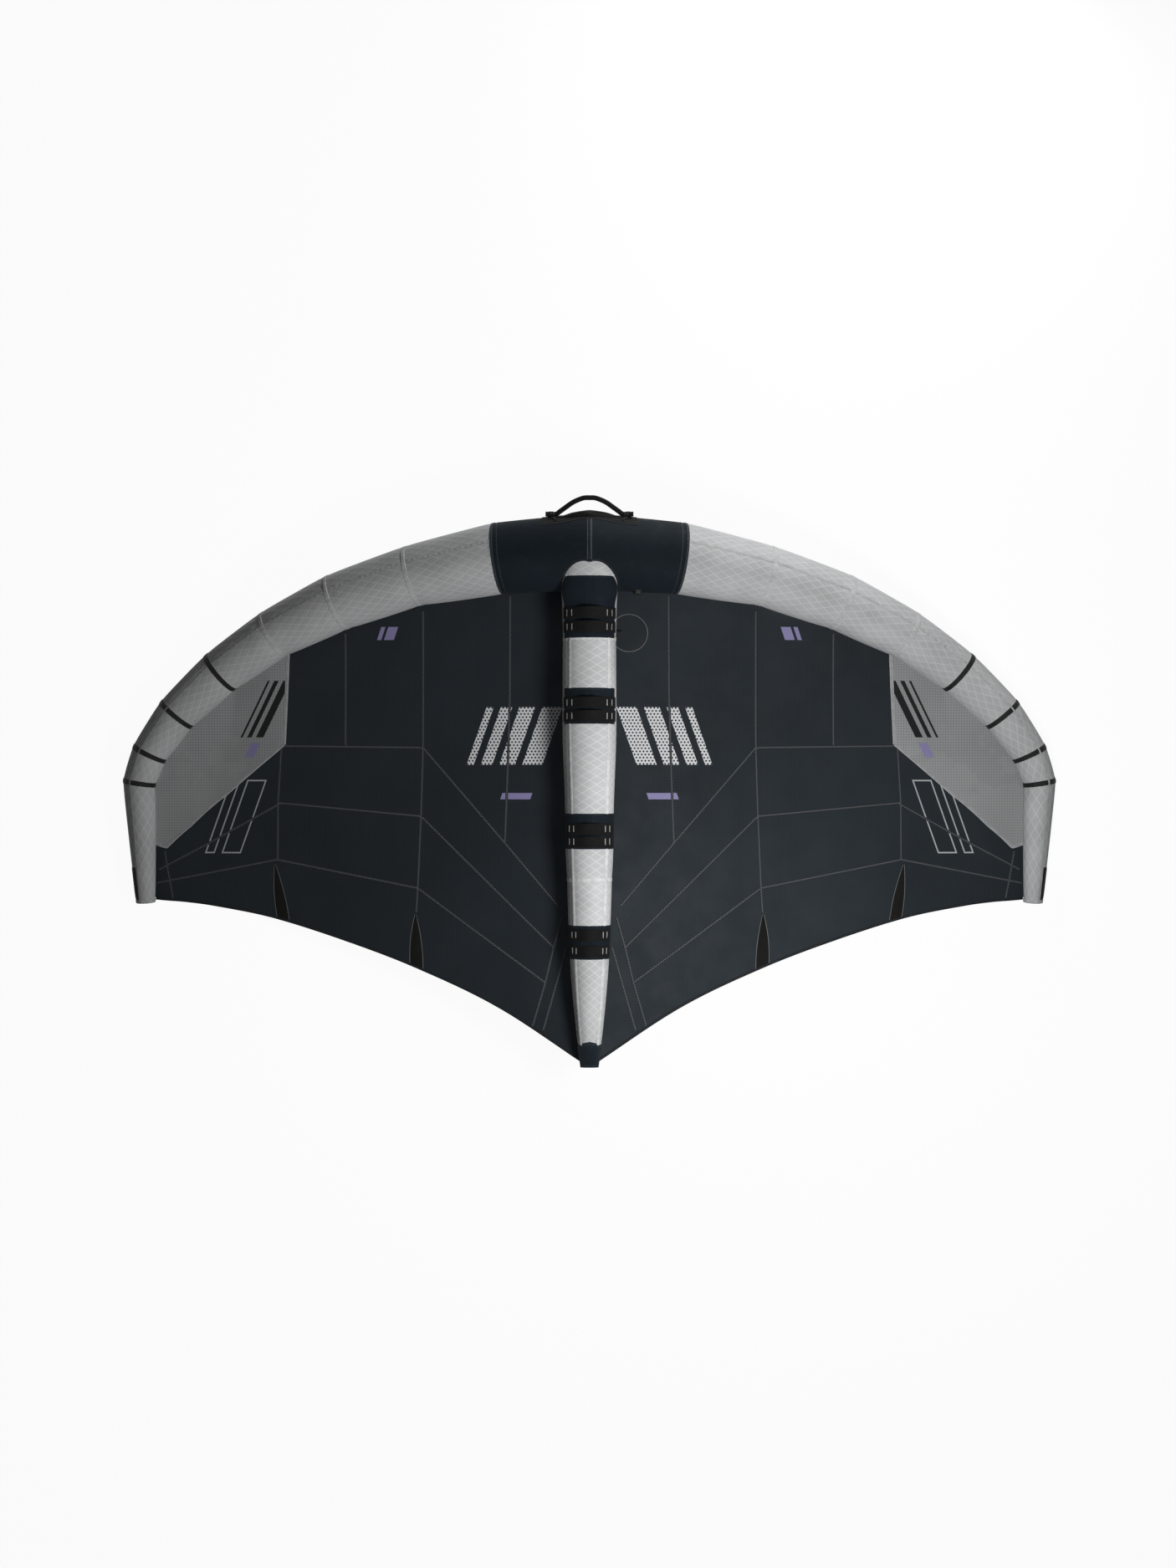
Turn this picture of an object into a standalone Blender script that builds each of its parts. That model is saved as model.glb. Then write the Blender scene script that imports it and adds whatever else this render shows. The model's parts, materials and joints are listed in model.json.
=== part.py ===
"""An inflatable hand-held wing for wing foiling, parked upside down with its strut on top.

The wing is symmetric about the plane X = 0. +Y points to the leading edge, +Z up to the rider's
side. A bent, tapering leading edge tube carries a V of canopy cloth and one strut along the middle.
Lengths are in metres.
"""

import math

import bmesh
import bpy
from mathutils import Matrix, Vector

# Driving dimensions of the cloth and of the gaps between pieces that touch
GAP = 0.0003
SLEEVE_WALL = 0.0010
BLADDER_WALL = 0.0004
CANOPY_THICKNESS = 0.0012
OVERRUN = 0.02
ROUNDING_SHARE = 0.000001
MERGE_DISTANCE = 0.00001
SMOOTH_ANGLE = math.radians(35.0)

# Leading edge tube: reach is sideways, sweep is towards the tail, rise is that of its underside
TUBE_RADIUS = 0.1288
TUBE_REACH = 1.5911
TUBE_SWEEP = 1.2141
DIHEDRAL_RISE = 0.2006
JOINT_REACH_SHARES = (0.0, 0.1965, 0.3838, 0.5523, 0.6961, 0.8179, 0.9163, 0.9773, 1.0, 0.9881)
JOINT_SWEEP_SHARES = (0.0, 0.0165, 0.0619, 0.1338, 0.2225, 0.3305, 0.4525, 0.5667, 0.6516, 1.0)
JOINT_RADIUS_SHARES = (1.0, 0.956, 0.821, 0.776, 0.679, 0.623, 0.551, 0.485, 0.446, 0.259)
JOINT_RISE_SHARES = (1.0, 0.84, 0.652, 0.408, 0.2, 0.0, 0.0, 0.0, 0.0, 0.0)
TUBE_SIDES = 20
BLADDER_SIDES = 10

# Seam tapes over the outer joints, with the joints counted from the centre
TAPE_WIDTH = 0.018
TAPE_THICKNESS = 0.0010
TAPE_SPLIT = 0.007
PLAIN_TAPE_JOINTS = (5,)
SPLIT_TAPE_JOINTS = (6, 7, 8)
SPLIT_STEPS = 6.4

# Tip caps, and the rubbing patches on the outer side of the tips
TIP_CUFF = 0.010
TIP_CAP_END = 0.004
TIP_PATCH_LENGTH = 0.115
TIP_PATCH_STEPS = 3

# Strut: its stations are shares of its length, counted from the leading edge tube's axis
STRUT_LENGTH = 1.7679
STRUT_HALF_WIDTH = 0.0957
STRUT_HALF_HEIGHT = 0.0950
STRUT_TAIL_DROP = 0.0244
STRUT_STATION_SHARES = (0, 0.07, 0.108, 0.17, 0.335, 0.507, 0.575, 0.635, 0.722, 0.787, 0.953, 1)
STRUT_WIDTH_SHARES = (1, 1, 0.97, 0.953, 0.959, 0.865, 0.851, 0.806, 0.749, 0.699, 0.426, 0.317)
STRUT_HEIGHT_SHARES = (1, 1, 0.98, 0.96, 0.966, 0.871, 0.857, 0.812, 0.754, 0.704, 0.429, 0.105)
STRUT_DROP_SHARES = (0, 0, 0, 0, 0, 0, 0, 0, 0, 0, 0, 1)
STRUT_ROUND_POWERS = (3.3, 3.3, 2, 2, 2, 2, 2, 2, 2, 2, 2, 2)
STRUT_SIDES = 24
STRUT_BLADDER_SIDES = 12
NOSE_END_SHARE = 0.17
CROSS_SEAM_SHARE = 0.635
TAIL_CAP_SHARE = 0.953
STRUT_BLADDER_SHARES = (0.108, 0.94)
TAIL_SEAM = 0.020

# Saddle seam, the flange of cloth where the strut's nose meets the leading edge
SADDLE_FLANGE = 0.008
SADDLE_THICKNESS = 0.0010

# Pads on the strut and the webbing straps over them: front and rear edge as shares of the strut
PAD_THICKNESS = 0.0020
PAD_EDGE_SHARES = ((0.052, 0.17), (0.266, 0.335), (0.507, 0.575), (0.722, 0.787))
PAD_WRAP_STEPS = (5, 5, 6, 6)
STRAP_PLACE_SHARES = ((0.593, 0.821), (0.407, 0.78), (0.43, 0.79), (0.275, 0.75))
STRAP_WIDTH = 0.038
STRAP_THICKNESS = 0.0018
STRAP_LIFT = 0.012
STRAP_FOOT_STEPS = 3
STRAP_END_STEPS = 5

# Canopy: one column of points for each joint of the leading edge, front to trailing edge
ATTACH_STEPS = -2
HEM_WIDTH = 0.008
HEM_THICKNESS = 0.0020
HEM_END_SHARE = 0.9
TRAILING_INSET = 0.0471
TRAILING_REACH = TUBE_REACH - TRAILING_INSET
TRAILING_SWEEP = 1.7540
TRAILING_ROOT_INSET = 0.008
TRAILING_REACH_SHARES = (0.0, 0.2, 0.387, 0.556, 0.719, 0.85, 0.921, 0.969, 1.0)
TRAILING_SWEEP_SHARES = (1.0, 0.896, 0.82, 0.766, 0.723, 0.701, 0.693, 0.69, 0.688)
CANOPY_CAMBER = 0.045
CAMBER_SHARES = (0.0, 0.7, 1.0, 0.95, 0.7, 0.35, 0.15, 0.08, 0.0)
CAMBER_POWER = 0.75
INNER_SEAM_COLUMN = 2
OUTER_SEAM_COLUMN = 4
TIP_COLUMN = 8
TIP_SEAM_SHARES = (0.353, 0.493, 0.579, 0.63, 0.527)

# Battens sewn shut in pointed pockets at the trailing edge, at the ends of the two seams
BATTEN_LENGTH = 0.19
BATTEN_HALF_WIDTH = 0.024
BATTEN_POINT_SHARE = 0.15
BATTEN_THICKNESS = 0.0014
BATTEN_CLEARANCE = 0.0006
POCKET_THICKNESS = 0.0012

# Front handle: a tube on a hinge line through its two feet, over a padded base
HANDLE_RADIUS = 0.0085
HANDLE_ELEVATION = math.radians(25.0)
HANDLE_RISE = 0.0585
HANDLE_FOOT_INNER = 0.115
HANDLE_FOOT_OUTER = 0.150
HANDLE_FOOT_EASE = 0.006
HANDLE_REACH_SHARES = (0.87, 0.7, 0.48, 0.2, 0.0)
HANDLE_RISE_SHARES = (0.17, 0.42, 0.73, 0.97, 1.0)
HANDLE_BASE_REACH = 0.155
HANDLE_BASE_THICKNESS = 0.0020
HANDLE_BASE_CLEARANCE = 0.0007
HANDLE_BASE_STEPS = (8, 9, 10)
KNUCKLE_REACH = 0.085
KNUCKLE_HEIGHT = 0.012
KNUCKLE_EDGE_HEIGHT = 0.003
KNUCKLE_COLUMNS = 6
KEEPER_WIDTH = 0.012
KEEPER_THICKNESS = 0.0018
KEEPER_PLACE = 0.132
KEEPER_ARC_STEPS = 8

# Inflation valve: heights are above the sleeve's face, along the valve's axis
VALVE_REACH = 0.171
VALVE_STEPS = (0, 1)
VALVE_FLANGE_RADIUS = 0.022
VALVE_FLANGE_THICKNESS = 0.0016
VALVE_NECK_RADIUS = 0.0125
VALVE_NECK_HEIGHT = 0.011
VALVE_BORE_RADIUS = 0.0095
VALVE_SKIRT_RADIUS = 0.0115
VALVE_SKIRT_DEPTH = 0.014
VALVE_SEAT_DEPTH = 0.004
VALVE_SEAT_THICKNESS = 0.002
VALVE_SEAT_RADIUS = 0.0055
POPPET_RADIUS = 0.0085
POPPET_THICKNESS = 0.0015
POPPET_STEM_RADIUS = 0.0018
POPPET_HEAD_RADIUS = 0.0035
POPPET_HEAD_HEIGHT = 0.0015
POPPET_STEM_TOP = 0.0015
CAP_CLEARANCE = 0.0010
CAP_WALL = 0.0022
CAP_TOP = 0.0020
CAP_ARM_WIDTH = 0.006
LUG_WIDTH = 0.003
LUG_HALF_DEPTH = 0.0022
HINGE_PIN_RADIUS = 0.0010
HINGE_PLACE = 0.0188
HINGE_HEIGHT = 0.0046
ROUND_STEPS = 24

# Air hose between the two bladders, and the pull tab on the strut's side
HOSE_RADIUS = 0.008
HOSE_BORE_RADIUS = 0.006
HOSE_COLLAR_RADIUS = 0.011
HOSE_COLLAR_LENGTH = 0.004
HOSE_REACH = 0.04
HOSE_END = 0.014
TAB_LENGTH = 0.020
TAB_WIDTH = 0.008
TAB_THICKNESS = 0.0024
TAB_STATION_SHARE = 0.154

TUBE_STEP = 2 * math.pi / TUBE_SIDES
STRUT_STEP = 2 * math.pi / STRUT_SIDES
TAPE_STANDOFF = GAP + TAPE_THICKNESS
JOINTS = range(len(JOINT_REACH_SHARES))
UP = Vector((0, 0, 1))
AFT = Vector((0, -1, 0))
OUTBOARD = Vector((1, 0, 0))


def clear_scene():
    for thing in list(bpy.data.objects):
        bpy.data.objects.remove(thing, do_unlink=True)


def new_collection(name):
    collection = bpy.data.collections.new(name)
    bpy.context.scene.collection.children.link(collection)
    return collection


def material(name, colour, roughness, metallic=0.0):
    paint = bpy.data.materials.get(name)
    if paint:
        return paint
    paint = bpy.data.materials.new(name)
    paint.use_nodes = True
    shader = paint.node_tree.nodes["Principled BSDF"]
    shader.inputs["Base Color"].default_value = (*colour, 1.0)
    shader.inputs["Roughness"].default_value = roughness
    shader.inputs["Metallic"].default_value = metallic
    return paint


def light_dacron():
    return material("light_dacron", (0.55, 0.56, 0.57), 0.55)


def white_dacron():
    return material("white_dacron", (0.72, 0.73, 0.73), 0.5)


def navy_fabric():
    return material("navy_fabric", (0.018, 0.026, 0.036), 0.6)


def canopy_ripstop():
    return material("canopy_ripstop", (0.030, 0.036, 0.043), 0.5)


def grey_ripstop():
    return material("grey_ripstop", (0.22, 0.225, 0.23), 0.5)


def black_webbing():
    return material("black_webbing", (0.020, 0.019, 0.018), 0.75)


def bladder_film():
    return material("bladder_film", (0.75, 0.78, 0.8), 0.3)


def black_plastic():
    return material("black_plastic", (0.016, 0.016, 0.017), 0.35)


def add_object(name, mesh, paint, collection):
    thing = bpy.data.objects.new(name, mesh)
    mesh.materials.clear()
    mesh.materials.append(paint)
    collection.objects.link(thing)
    return thing


def mesh_from_bmesh(name, shape, smooth=True):
    bmesh.ops.recalc_face_normals(shape, faces=shape.faces)
    mesh = bpy.data.meshes.new(name)
    shape.to_mesh(mesh)
    shape.free()
    if smooth:
        mesh.shade_smooth()
        mesh.set_sharp_from_angle(angle=SMOOTH_ANGLE)
    return mesh


def add_grid(shape, grid, wrap):
    """Adds the faces of a grid of points, given row by row, and returns its vertices."""
    rows = [[shape.verts.new(point) for point in row] for row in grid]
    for near, far in zip(rows, rows[1:]):
        columns = len(near) if wrap else len(near) - 1
        for c in range(columns):
            d = (c + 1) % len(near)
            shape.faces.new((near[c], near[d], far[d], far[c]))
    return rows


def join_edges(shape, first, second, wrap):
    """Joins two lines of vertices with a strip of faces."""
    columns = len(first) if wrap else len(first) - 1
    for c in range(columns):
        d = (c + 1) % len(first)
        shape.faces.new((first[c], first[d], second[d], second[c]))


def plate(shape, front, back, wrap=False):
    """Adds the closed wall between two grids of points, such as a cloth's two faces."""
    outer = add_grid(shape, front, wrap)
    inner = add_grid(shape, back, wrap)
    join_edges(shape, outer[0], inner[0], wrap)
    join_edges(shape, outer[-1], inner[-1], wrap)
    if not wrap:
        join_edges(shape, [row[0] for row in outer], [row[0] for row in inner], False)
        join_edges(shape, [row[-1] for row in outer], [row[-1] for row in inner], False)


def loft(shape, rings):
    """Adds the closed solid through rings of points, with a flat face at each end."""
    rows = add_grid(shape, rings, True)
    shape.faces.new(rows[0])
    shape.faces.new(rows[-1])


def cup(shape, outer, inner):
    """Adds the wall between two stacks of rings, open at the first rings and closed at the last."""
    outside = add_grid(shape, outer, True)
    inside = add_grid(shape, inner, True)
    join_edges(shape, outside[0], inside[0], True)
    shape.faces.new(outside[-1])
    shape.faces.new(inside[-1])


def cutter(name, mesh, collection):
    thing = bpy.data.objects.new(name, mesh)
    collection.objects.link(thing)
    thing.display_type = "WIRE"
    thing.hide_render = True
    return thing


def cut(thing, tool, operation="DIFFERENCE"):
    boolean = thing.modifiers.new(operation.lower(), "BOOLEAN")
    boolean.operation = operation
    boolean.solver = "EXACT"
    boolean.object = tool


def mirrored(points, side):
    return [Vector((side * p.x, p.y, p.z)) for p in points]


def mirrored_grid(grid, side):
    return [mirrored(row, side) for row in grid]


def lerp(low, high, share):
    return low + (high - low) * share


class Tube:
    """The leading edge tube's joints on the +X side, and the points of its skin."""

    def __init__(self):
        self.radius = [TUBE_RADIUS * share for share in JOINT_RADIUS_SHARES]
        self.centre = [self.joint_centre(j, self.radius[j] + TAPE_STANDOFF) for j in JOINTS]
        self.normal = [self.mitre_normal(j) for j in JOINTS]
        self.up = [(UP - UP.dot(n) * n).normalized() for n in self.normal]
        self.rear = [n.cross(u) for n, u in zip(self.normal, self.up)]
        self.centre = [
            self.joint_centre(j, (self.radius[j] + TAPE_STANDOFF) * self.up[j].z) for j in JOINTS
        ]

    def joint_centre(self, j, height):
        reach = TUBE_REACH * JOINT_REACH_SHARES[j]
        sweep = TUBE_SWEEP * JOINT_SWEEP_SHARES[j]
        return Vector((reach, -sweep, DIHEDRAL_RISE * JOINT_RISE_SHARES[j] + height))

    def along(self, j):
        """The direction of the segment that leaves joint j outboard."""
        return (self.centre[j + 1] - self.centre[j]).normalized()

    def mitre_normal(self, j):
        if j == 0:
            return OUTBOARD.copy()
        if j == JOINTS[-1]:
            return self.along(j - 1)
        return (self.along(j - 1) + self.along(j)).normalized()

    def angle_point(self, j, angle, offset):
        spoke = math.cos(angle) * self.rear[j] + math.sin(angle) * self.up[j]
        return self.centre[j] + (self.radius[j] + offset) * spoke

    def corner(self, j, step, offset=0.0):
        return self.angle_point(j, step * TUBE_STEP, offset)

    def segment_point(self, j, share, step, offset=0.0):
        """A point on the straight line between the same corners of joints j and j + 1."""
        return lerp(self.corner(j, step, offset), self.corner(j + 1, step, offset), share)

    def ring(self, j, share, offset, sides=TUBE_SIDES):
        skip = TUBE_SIDES // sides
        return [self.segment_point(j, share, s * skip, offset) for s in range(sides)]

    def segment_length(self, j):
        return (self.centre[j + 1] - self.centre[j]).length

    def share_of(self, j, length):
        return length / self.segment_length(j)

    def share_at_reach(self, reach):
        """How far along the first segment the tube's axis passes a sideways distance."""
        return reach / self.centre[1].x


class Strut:
    """The strut's sections: squarish at the nose, round behind it, flat at the tail."""

    def __init__(self, tube):
        self.front = tube.centre[0].y
        self.base = 0.0
        root = tube.corner(0, ATTACH_STEPS, GAP + CANOPY_THICKNESS / 2)
        self.canopy_front = root.y
        self.base = root.z + CANOPY_THICKNESS / 2 + GAP - self.underside(root.y)

    def place(self, share):
        return self.front - STRUT_LENGTH * share

    def share(self, y):
        return (self.front - y) / STRUT_LENGTH

    def bracket(self, y):
        """The station in front of y, and how far y lies on the way to the next one."""
        at = min(max(self.share(y), 0.0), 1.0)
        last = len(STRUT_STATION_SHARES) - 2
        k = next((i for i in range(last) if at <= STRUT_STATION_SHARES[i + 1]), last)
        low, high = STRUT_STATION_SHARES[k : k + 2]
        return k, (at - low) / (high - low)

    def axis(self, y):
        k, part = self.bracket(y)
        return self.base - STRUT_TAIL_DROP * lerp(*STRUT_DROP_SHARES[k : k + 2], part)

    def station_reach(self, k, angle):
        """The radius of a station's rounded section in a direction counted from the top."""
        power = STRUT_ROUND_POWERS[k]
        sideways = abs(math.sin(angle)) / (STRUT_HALF_WIDTH * STRUT_WIDTH_SHARES[k])
        upwards = abs(math.cos(angle)) / (STRUT_HALF_HEIGHT * STRUT_HEIGHT_SHARES[k])
        return (sideways**power + upwards**power) ** (-1 / power)

    def reach(self, y, angle):
        k, part = self.bracket(y)
        return lerp(self.station_reach(k, angle), self.station_reach(k + 1, angle), part)

    def point(self, y, angle, offset=0.0):
        radius = self.reach(y, angle) + offset
        return Vector((radius * math.sin(angle), y, self.axis(y) + radius * math.cos(angle)))

    def corner(self, y, step, offset=0.0):
        """A corner of the faceted section; step 0 and step -1 bound the facet on top."""
        return self.point(y, (step + 0.5) * STRUT_STEP, offset)

    def underside(self, y):
        return self.corner(y, STRUT_SIDES // 2).z

    def top(self, y, offset=0.0):
        return self.corner(y, 0, offset).z

    def ring(self, y, offset):
        return [self.corner(y, s, offset) for s in range(STRUT_SIDES)]

    def places(self, front_share, rear_share):
        """The places of the stations from one share to another, with both ends."""
        inside = [s for s in STRUT_STATION_SHARES if front_share < s < rear_share]
        return [self.place(s) for s in (front_share, *inside, rear_share)]


class Canopy:
    """The canopy's upper face on the +X side, as columns from the tube to the trailing edge."""

    def __init__(self, tube, strut):
        self.tube = tube
        self.strut = strut
        skin = GAP + CANOPY_THICKNESS / 2
        lift = UP * CANOPY_THICKNESS / 2
        self.front = [tube.corner(j, ATTACH_STEPS, skin) + lift for j in range(TIP_COLUMN + 1)]
        clear = tube.share_of(TIP_COLUMN, TIP_CUFF + TIP_CAP_END)
        tip = tube.segment_point(TIP_COLUMN, 1 - clear, ATTACH_STEPS, skin) + lift
        root_y = strut.place(1.0) + TRAILING_ROOT_INSET
        root = Vector((0, root_y, strut.underside(root_y) - GAP))
        self.rear = [self.trailing_point(k, root, tip) for k in range(TIP_COLUMN + 1)]
        self.rows = self.find_rows()

    def trailing_point(self, k, root, tip):
        if k == 0:
            return root
        if k == TIP_COLUMN:
            return tip
        share = TRAILING_REACH_SHARES[k]
        sweep = TRAILING_SWEEP * TRAILING_SWEEP_SHARES[k] - HEM_WIDTH - GAP
        return Vector((TRAILING_REACH * share, -sweep, lerp(root.z, tip.z, share)))

    def column_point(self, k, t):
        """The point at share t of column k, front to rear."""
        point = lerp(self.front[k], self.rear[k], t)
        if k == 0:
            point.z = self.strut.underside(point.y) - GAP
            return point
        belly = CANOPY_CAMBER * CAMBER_SHARES[k]
        point.z -= belly * math.sin(math.pi * t**CAMBER_POWER)
        return point

    def find_rows(self):
        """Shares at which the middle column passes the strut's stations, and the tip's seam."""
        span = self.front[0].y - self.rear[0].y
        shares = [(self.front[0].y - self.strut.place(s)) / span for s in STRUT_STATION_SHARES]
        return sorted([0.0, TIP_SEAM_SHARES[0], 1.0] + [t for t in shares if 0 < t < 1])

    def faceted_point(self, k, t):
        """The point at share t on column k's straight pieces between two rows."""
        low = max(row for row in self.rows if row <= t)
        high = min(row for row in self.rows if row >= t)
        if low == high:
            return self.column_point(k, t)
        near, far = self.column_point(k, low), self.column_point(k, high)
        return lerp(near, far, (t - low) / (high - low))

    def beside(self, k, distance, t):
        """The point at a distance outboard of column k on the faceted cloth."""
        other = k + 1 if distance > 0 else k - 1
        spacing = (self.rear[other] - self.rear[k]).length
        return lerp(self.faceted_point(k, t), self.faceted_point(other, t), abs(distance) / spacing)

    def inset(self, grid):
        """Moves a panel's outer columns in by half a gap, so that neighbours don't touch."""
        for row in grid:
            row[0] = row[0] + (row[1] - row[0]).normalized() * GAP / 2
            row[-1] = row[-1] + (row[-2] - row[-1]).normalized() * GAP / 2
        return grid


def add_cloth(name, grid, thickness, paint, parts):
    """A sheet of cloth whose upper face is a grid of points."""
    shape = bmesh.new()
    below = [[point - UP * thickness for point in row] for row in grid]
    plate(shape, grid, below)
    return add_object(name, mesh_from_bmesh(name, shape), paint, parts)


def sleeve_panel(name, rings, paint, parts):
    """A panel of the leading edge's sleeve, from pairs of outer and inner rings."""
    shape = bmesh.new()
    plate(shape, [outer for outer, _ in rings], [inner for _, inner in rings], wrap=True)
    return add_object(name, mesh_from_bmesh(name, shape), paint, parts)


def make_center_panel(tube, parts):
    """The navy panel in the middle, from its seam on one side to its seam on the other."""
    end = 1 - tube.share_of(0, GAP / 2)
    middle, right = [(tube.ring(0, e, 0.0), tube.ring(0, e, -SLEEVE_WALL)) for e in (0.0, end)]
    left = tuple(mirrored(ring, -1) for ring in right)
    return sleeve_panel("le_center_panel", [left, middle, right], navy_fabric(), parts)


def make_side_panels(tube, parts, cutters):
    """The straight, tapering panels from seam to seam, outboard of the middle one."""
    for side, word in ((1, "right"), (-1, "left")):
        for j in JOINTS[1:-1]:
            half_gap = tube.share_of(j, GAP / 2)
            rings = []
            for end in (half_gap, 1 - half_gap):
                outer, inner = tube.ring(j, end, 0.0), tube.ring(j, end, -SLEEVE_WALL)
                rings.append((mirrored(outer, side), mirrored(inner, side)))
            name = f"le_panel_{j}_{word}"
            panel = sleeve_panel(name, rings, light_dacron(), parts)
            sewn_on = bmesh.new()
            for arc in tape_arcs(tube, j):
                add_tape(sewn_on, tube, j, arc, side)
            if j == JOINTS[-2]:
                add_tip_patch(sewn_on, tube, side)
            if sewn_on.verts:
                label = f"sewn_on_{j}_{word}"
                cut(panel, cutter(label, mesh_from_bmesh(label, sewn_on), cutters), "UNION")


def tape_arcs(tube, j):
    """The angles through which the seam tape at joint j runs, with none where cloth is sewn on."""
    start = ATTACH_STEPS + 1
    whole = [(start + s) * TUBE_STEP for s in range(TUBE_SIDES - 1)]
    if j in PLAIN_TAPE_JOINTS:
        return [whole]
    if j not in SPLIT_TAPE_JOINTS:
        return []
    split = SPLIT_STEPS * TUBE_STEP
    half_split = TAPE_SPLIT / 2 / tube.radius[j]
    over = [angle for angle in whole if angle < split - half_split]
    under = [angle for angle in whole if angle > split + half_split]
    return [over + [split - half_split], [split + half_split] + under]


def add_tape(shape, tube, j, angles, side):
    """Adds a band over the seam at joint j, rooted in panel j's wall and clear of its neighbour."""
    half = TAPE_WIDTH / 2
    root = -SLEEVE_WALL / 2
    stations = (
        (j - 1, 1 - tube.share_of(j - 1, half), GAP),
        (j, 0.0, GAP),
        (j, tube.share_of(j, GAP), root),
        (j, tube.share_of(j, half), root),
    )

    def line(segment, share, offset):
        points = []
        for angle in angles:
            step = math.floor(angle / TUBE_STEP + ROUNDING_SHARE)
            part = angle / TUBE_STEP - step
            low = tube.segment_point(segment, share, step, offset)
            high = tube.segment_point(segment, share, step + 1, offset)
            points.append(lerp(low, high, part))
        return mirrored(points, side)

    outer = [line(segment, share, TAPE_STANDOFF) for segment, share, _ in stations]
    inner = [line(*station) for station in stations]
    plate(shape, outer, inner)


def add_tip_patch(shape, tube, side):
    """Adds the rubbing patch on the outer side of the tip, rooted in the last panel's wall."""
    last = JOINTS[-2]
    cuff = tube.share_of(last, TIP_CUFF + GAP)
    patch = tube.share_of(last, TIP_PATCH_LENGTH)
    middle = TUBE_SIDES // 2
    steps = range(middle - TIP_PATCH_STEPS, middle + TIP_PATCH_STEPS + 1)
    grids = []
    for offset in (TAPE_STANDOFF, -SLEEVE_WALL / 2):
        ends = (1 - cuff - patch, 1 - cuff)
        grid = [[tube.segment_point(last, e, s, offset) for s in steps] for e in ends]
        grids.append(mirrored_grid(grid, side))
    plate(shape, *grids)


def tube_solid(tube, first, last, offset, sides=TUBE_SIDES):
    """Rings of the whole tube from joint last on the -X side to joint last on the +X side."""
    right = [tube.ring(j, 0.0, offset, sides) for j in range(first, last)]
    right.append(tube.ring(last - 1, 1.0, offset, sides))
    left = [mirrored(ring, -1) for ring in reversed(right)]
    if first == 0:
        left = left[:-1]
    return left + right


def tube_cutter(name, tube, offset, cutters):
    """The tube's middle part as a solid, larger than the tube by an offset."""
    shape = bmesh.new()
    loft(shape, tube_solid(tube, 0, 1, offset))
    return cutter(name, mesh_from_bmesh(name, shape), cutters)


def make_tube_bladder(tube, parts, cutters, holes):
    """The air bladder in the leading edge, closed at both tips."""
    end = JOINTS[-1]
    skin = -SLEEVE_WALL - GAP
    short = tube.share_of(end - 1, OVERRUN / 2)

    def rings(offset, trim):
        stack = tube_solid(tube, 0, end, offset, BLADDER_SIDES)
        tip = tube.ring(end - 1, 1 - trim, offset, BLADDER_SIDES)
        stack[-1] = tip
        stack[0] = mirrored(tip, -1)
        return stack

    shape = bmesh.new()
    loft(shape, rings(skin, short))
    hollow = bmesh.new()
    wall_share = tube.share_of(end - 1, BLADDER_WALL)
    loft(hollow, rings(skin - BLADDER_WALL, short + wall_share))
    # The film is thinner than its faces are twisted, so both walls are split along the same lines
    for walls in (shape, hollow):
        bmesh.ops.triangulate(walls, faces=walls.faces, quad_method="FIXED")
    bladder = add_object("le_bladder", mesh_from_bmesh("le_bladder", shape), bladder_film(), parts)
    cut(bladder, cutter("le_bladder_air", mesh_from_bmesh("le_bladder_air", hollow), cutters))
    for hole in holes:
        cut(bladder, hole)


def make_tip_ends(tube, parts):
    """A cuffed cap over each tip."""
    end = JOINTS[-1]
    cuff = tube.share_of(end - 1, TIP_CUFF)
    beyond = tube.share_of(end - 1, TIP_CAP_END)
    room = tube.share_of(end - 1, GAP)
    for side, word in ((1, "right"), (-1, "left")):
        outer = [
            tube.ring(end - 1, 1 - cuff, TAPE_STANDOFF),
            tube.ring(end - 1, 1 + beyond / 2, TAPE_STANDOFF),
            tube.ring(end - 1, 1 + beyond, TAPE_STANDOFF - TIP_CAP_END),
        ]
        inner = [tube.ring(end - 1, 1 - cuff, GAP), tube.ring(end - 1, 1 + room, GAP)]
        shape = bmesh.new()
        cup(shape, mirrored_grid(outer, side), mirrored_grid(inner, side))
        name = f"tip_cap_{word}"
        add_object(name, mesh_from_bmesh(name, shape), light_dacron(), parts)


def strut_shell(name, strut, places, paint, parts):
    """A sleeve of the strut, open at both ends."""
    places = [places[0] - GAP / 2, *places[1:-1], places[-1] + GAP / 2]
    shape = bmesh.new()
    outer = [strut.ring(y, 0.0) for y in places]
    inner = [strut.ring(y, -SLEEVE_WALL) for y in places]
    plate(shape, outer, inner, wrap=True)
    return add_object(name, mesh_from_bmesh(name, shape), paint, parts)


def make_strut_sleeves(strut, saddle, parts):
    nose = strut_shell(
        "strut_nose", strut, strut.places(0.0, NOSE_END_SHARE), white_dacron(), parts
    )
    cut(nose, saddle)
    front = strut.places(NOSE_END_SHARE, CROSS_SEAM_SHARE)
    strut_shell("strut_sleeve_front", strut, front, white_dacron(), parts)
    rear = strut.places(CROSS_SEAM_SHARE, TAIL_CAP_SHARE)
    strut_shell("strut_sleeve_rear", strut, rear, white_dacron(), parts)


def make_tail_cap(strut, parts):
    """The navy end of the strut: round in front, sewn flat behind."""
    front, rear = strut.places(TAIL_CAP_SHARE, 1.0)
    front -= GAP / 2
    outer = [strut.ring(front, 0.0), strut.ring(rear, 0.0)]
    inner = [strut.ring(front, -SLEEVE_WALL), strut.ring(rear + TAIL_SEAM, -2 * SLEEVE_WALL)]
    shape = bmesh.new()
    cup(shape, outer, inner)
    name = "strut_tail_cap"
    add_object(name, mesh_from_bmesh(name, shape), navy_fabric(), parts)


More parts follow.
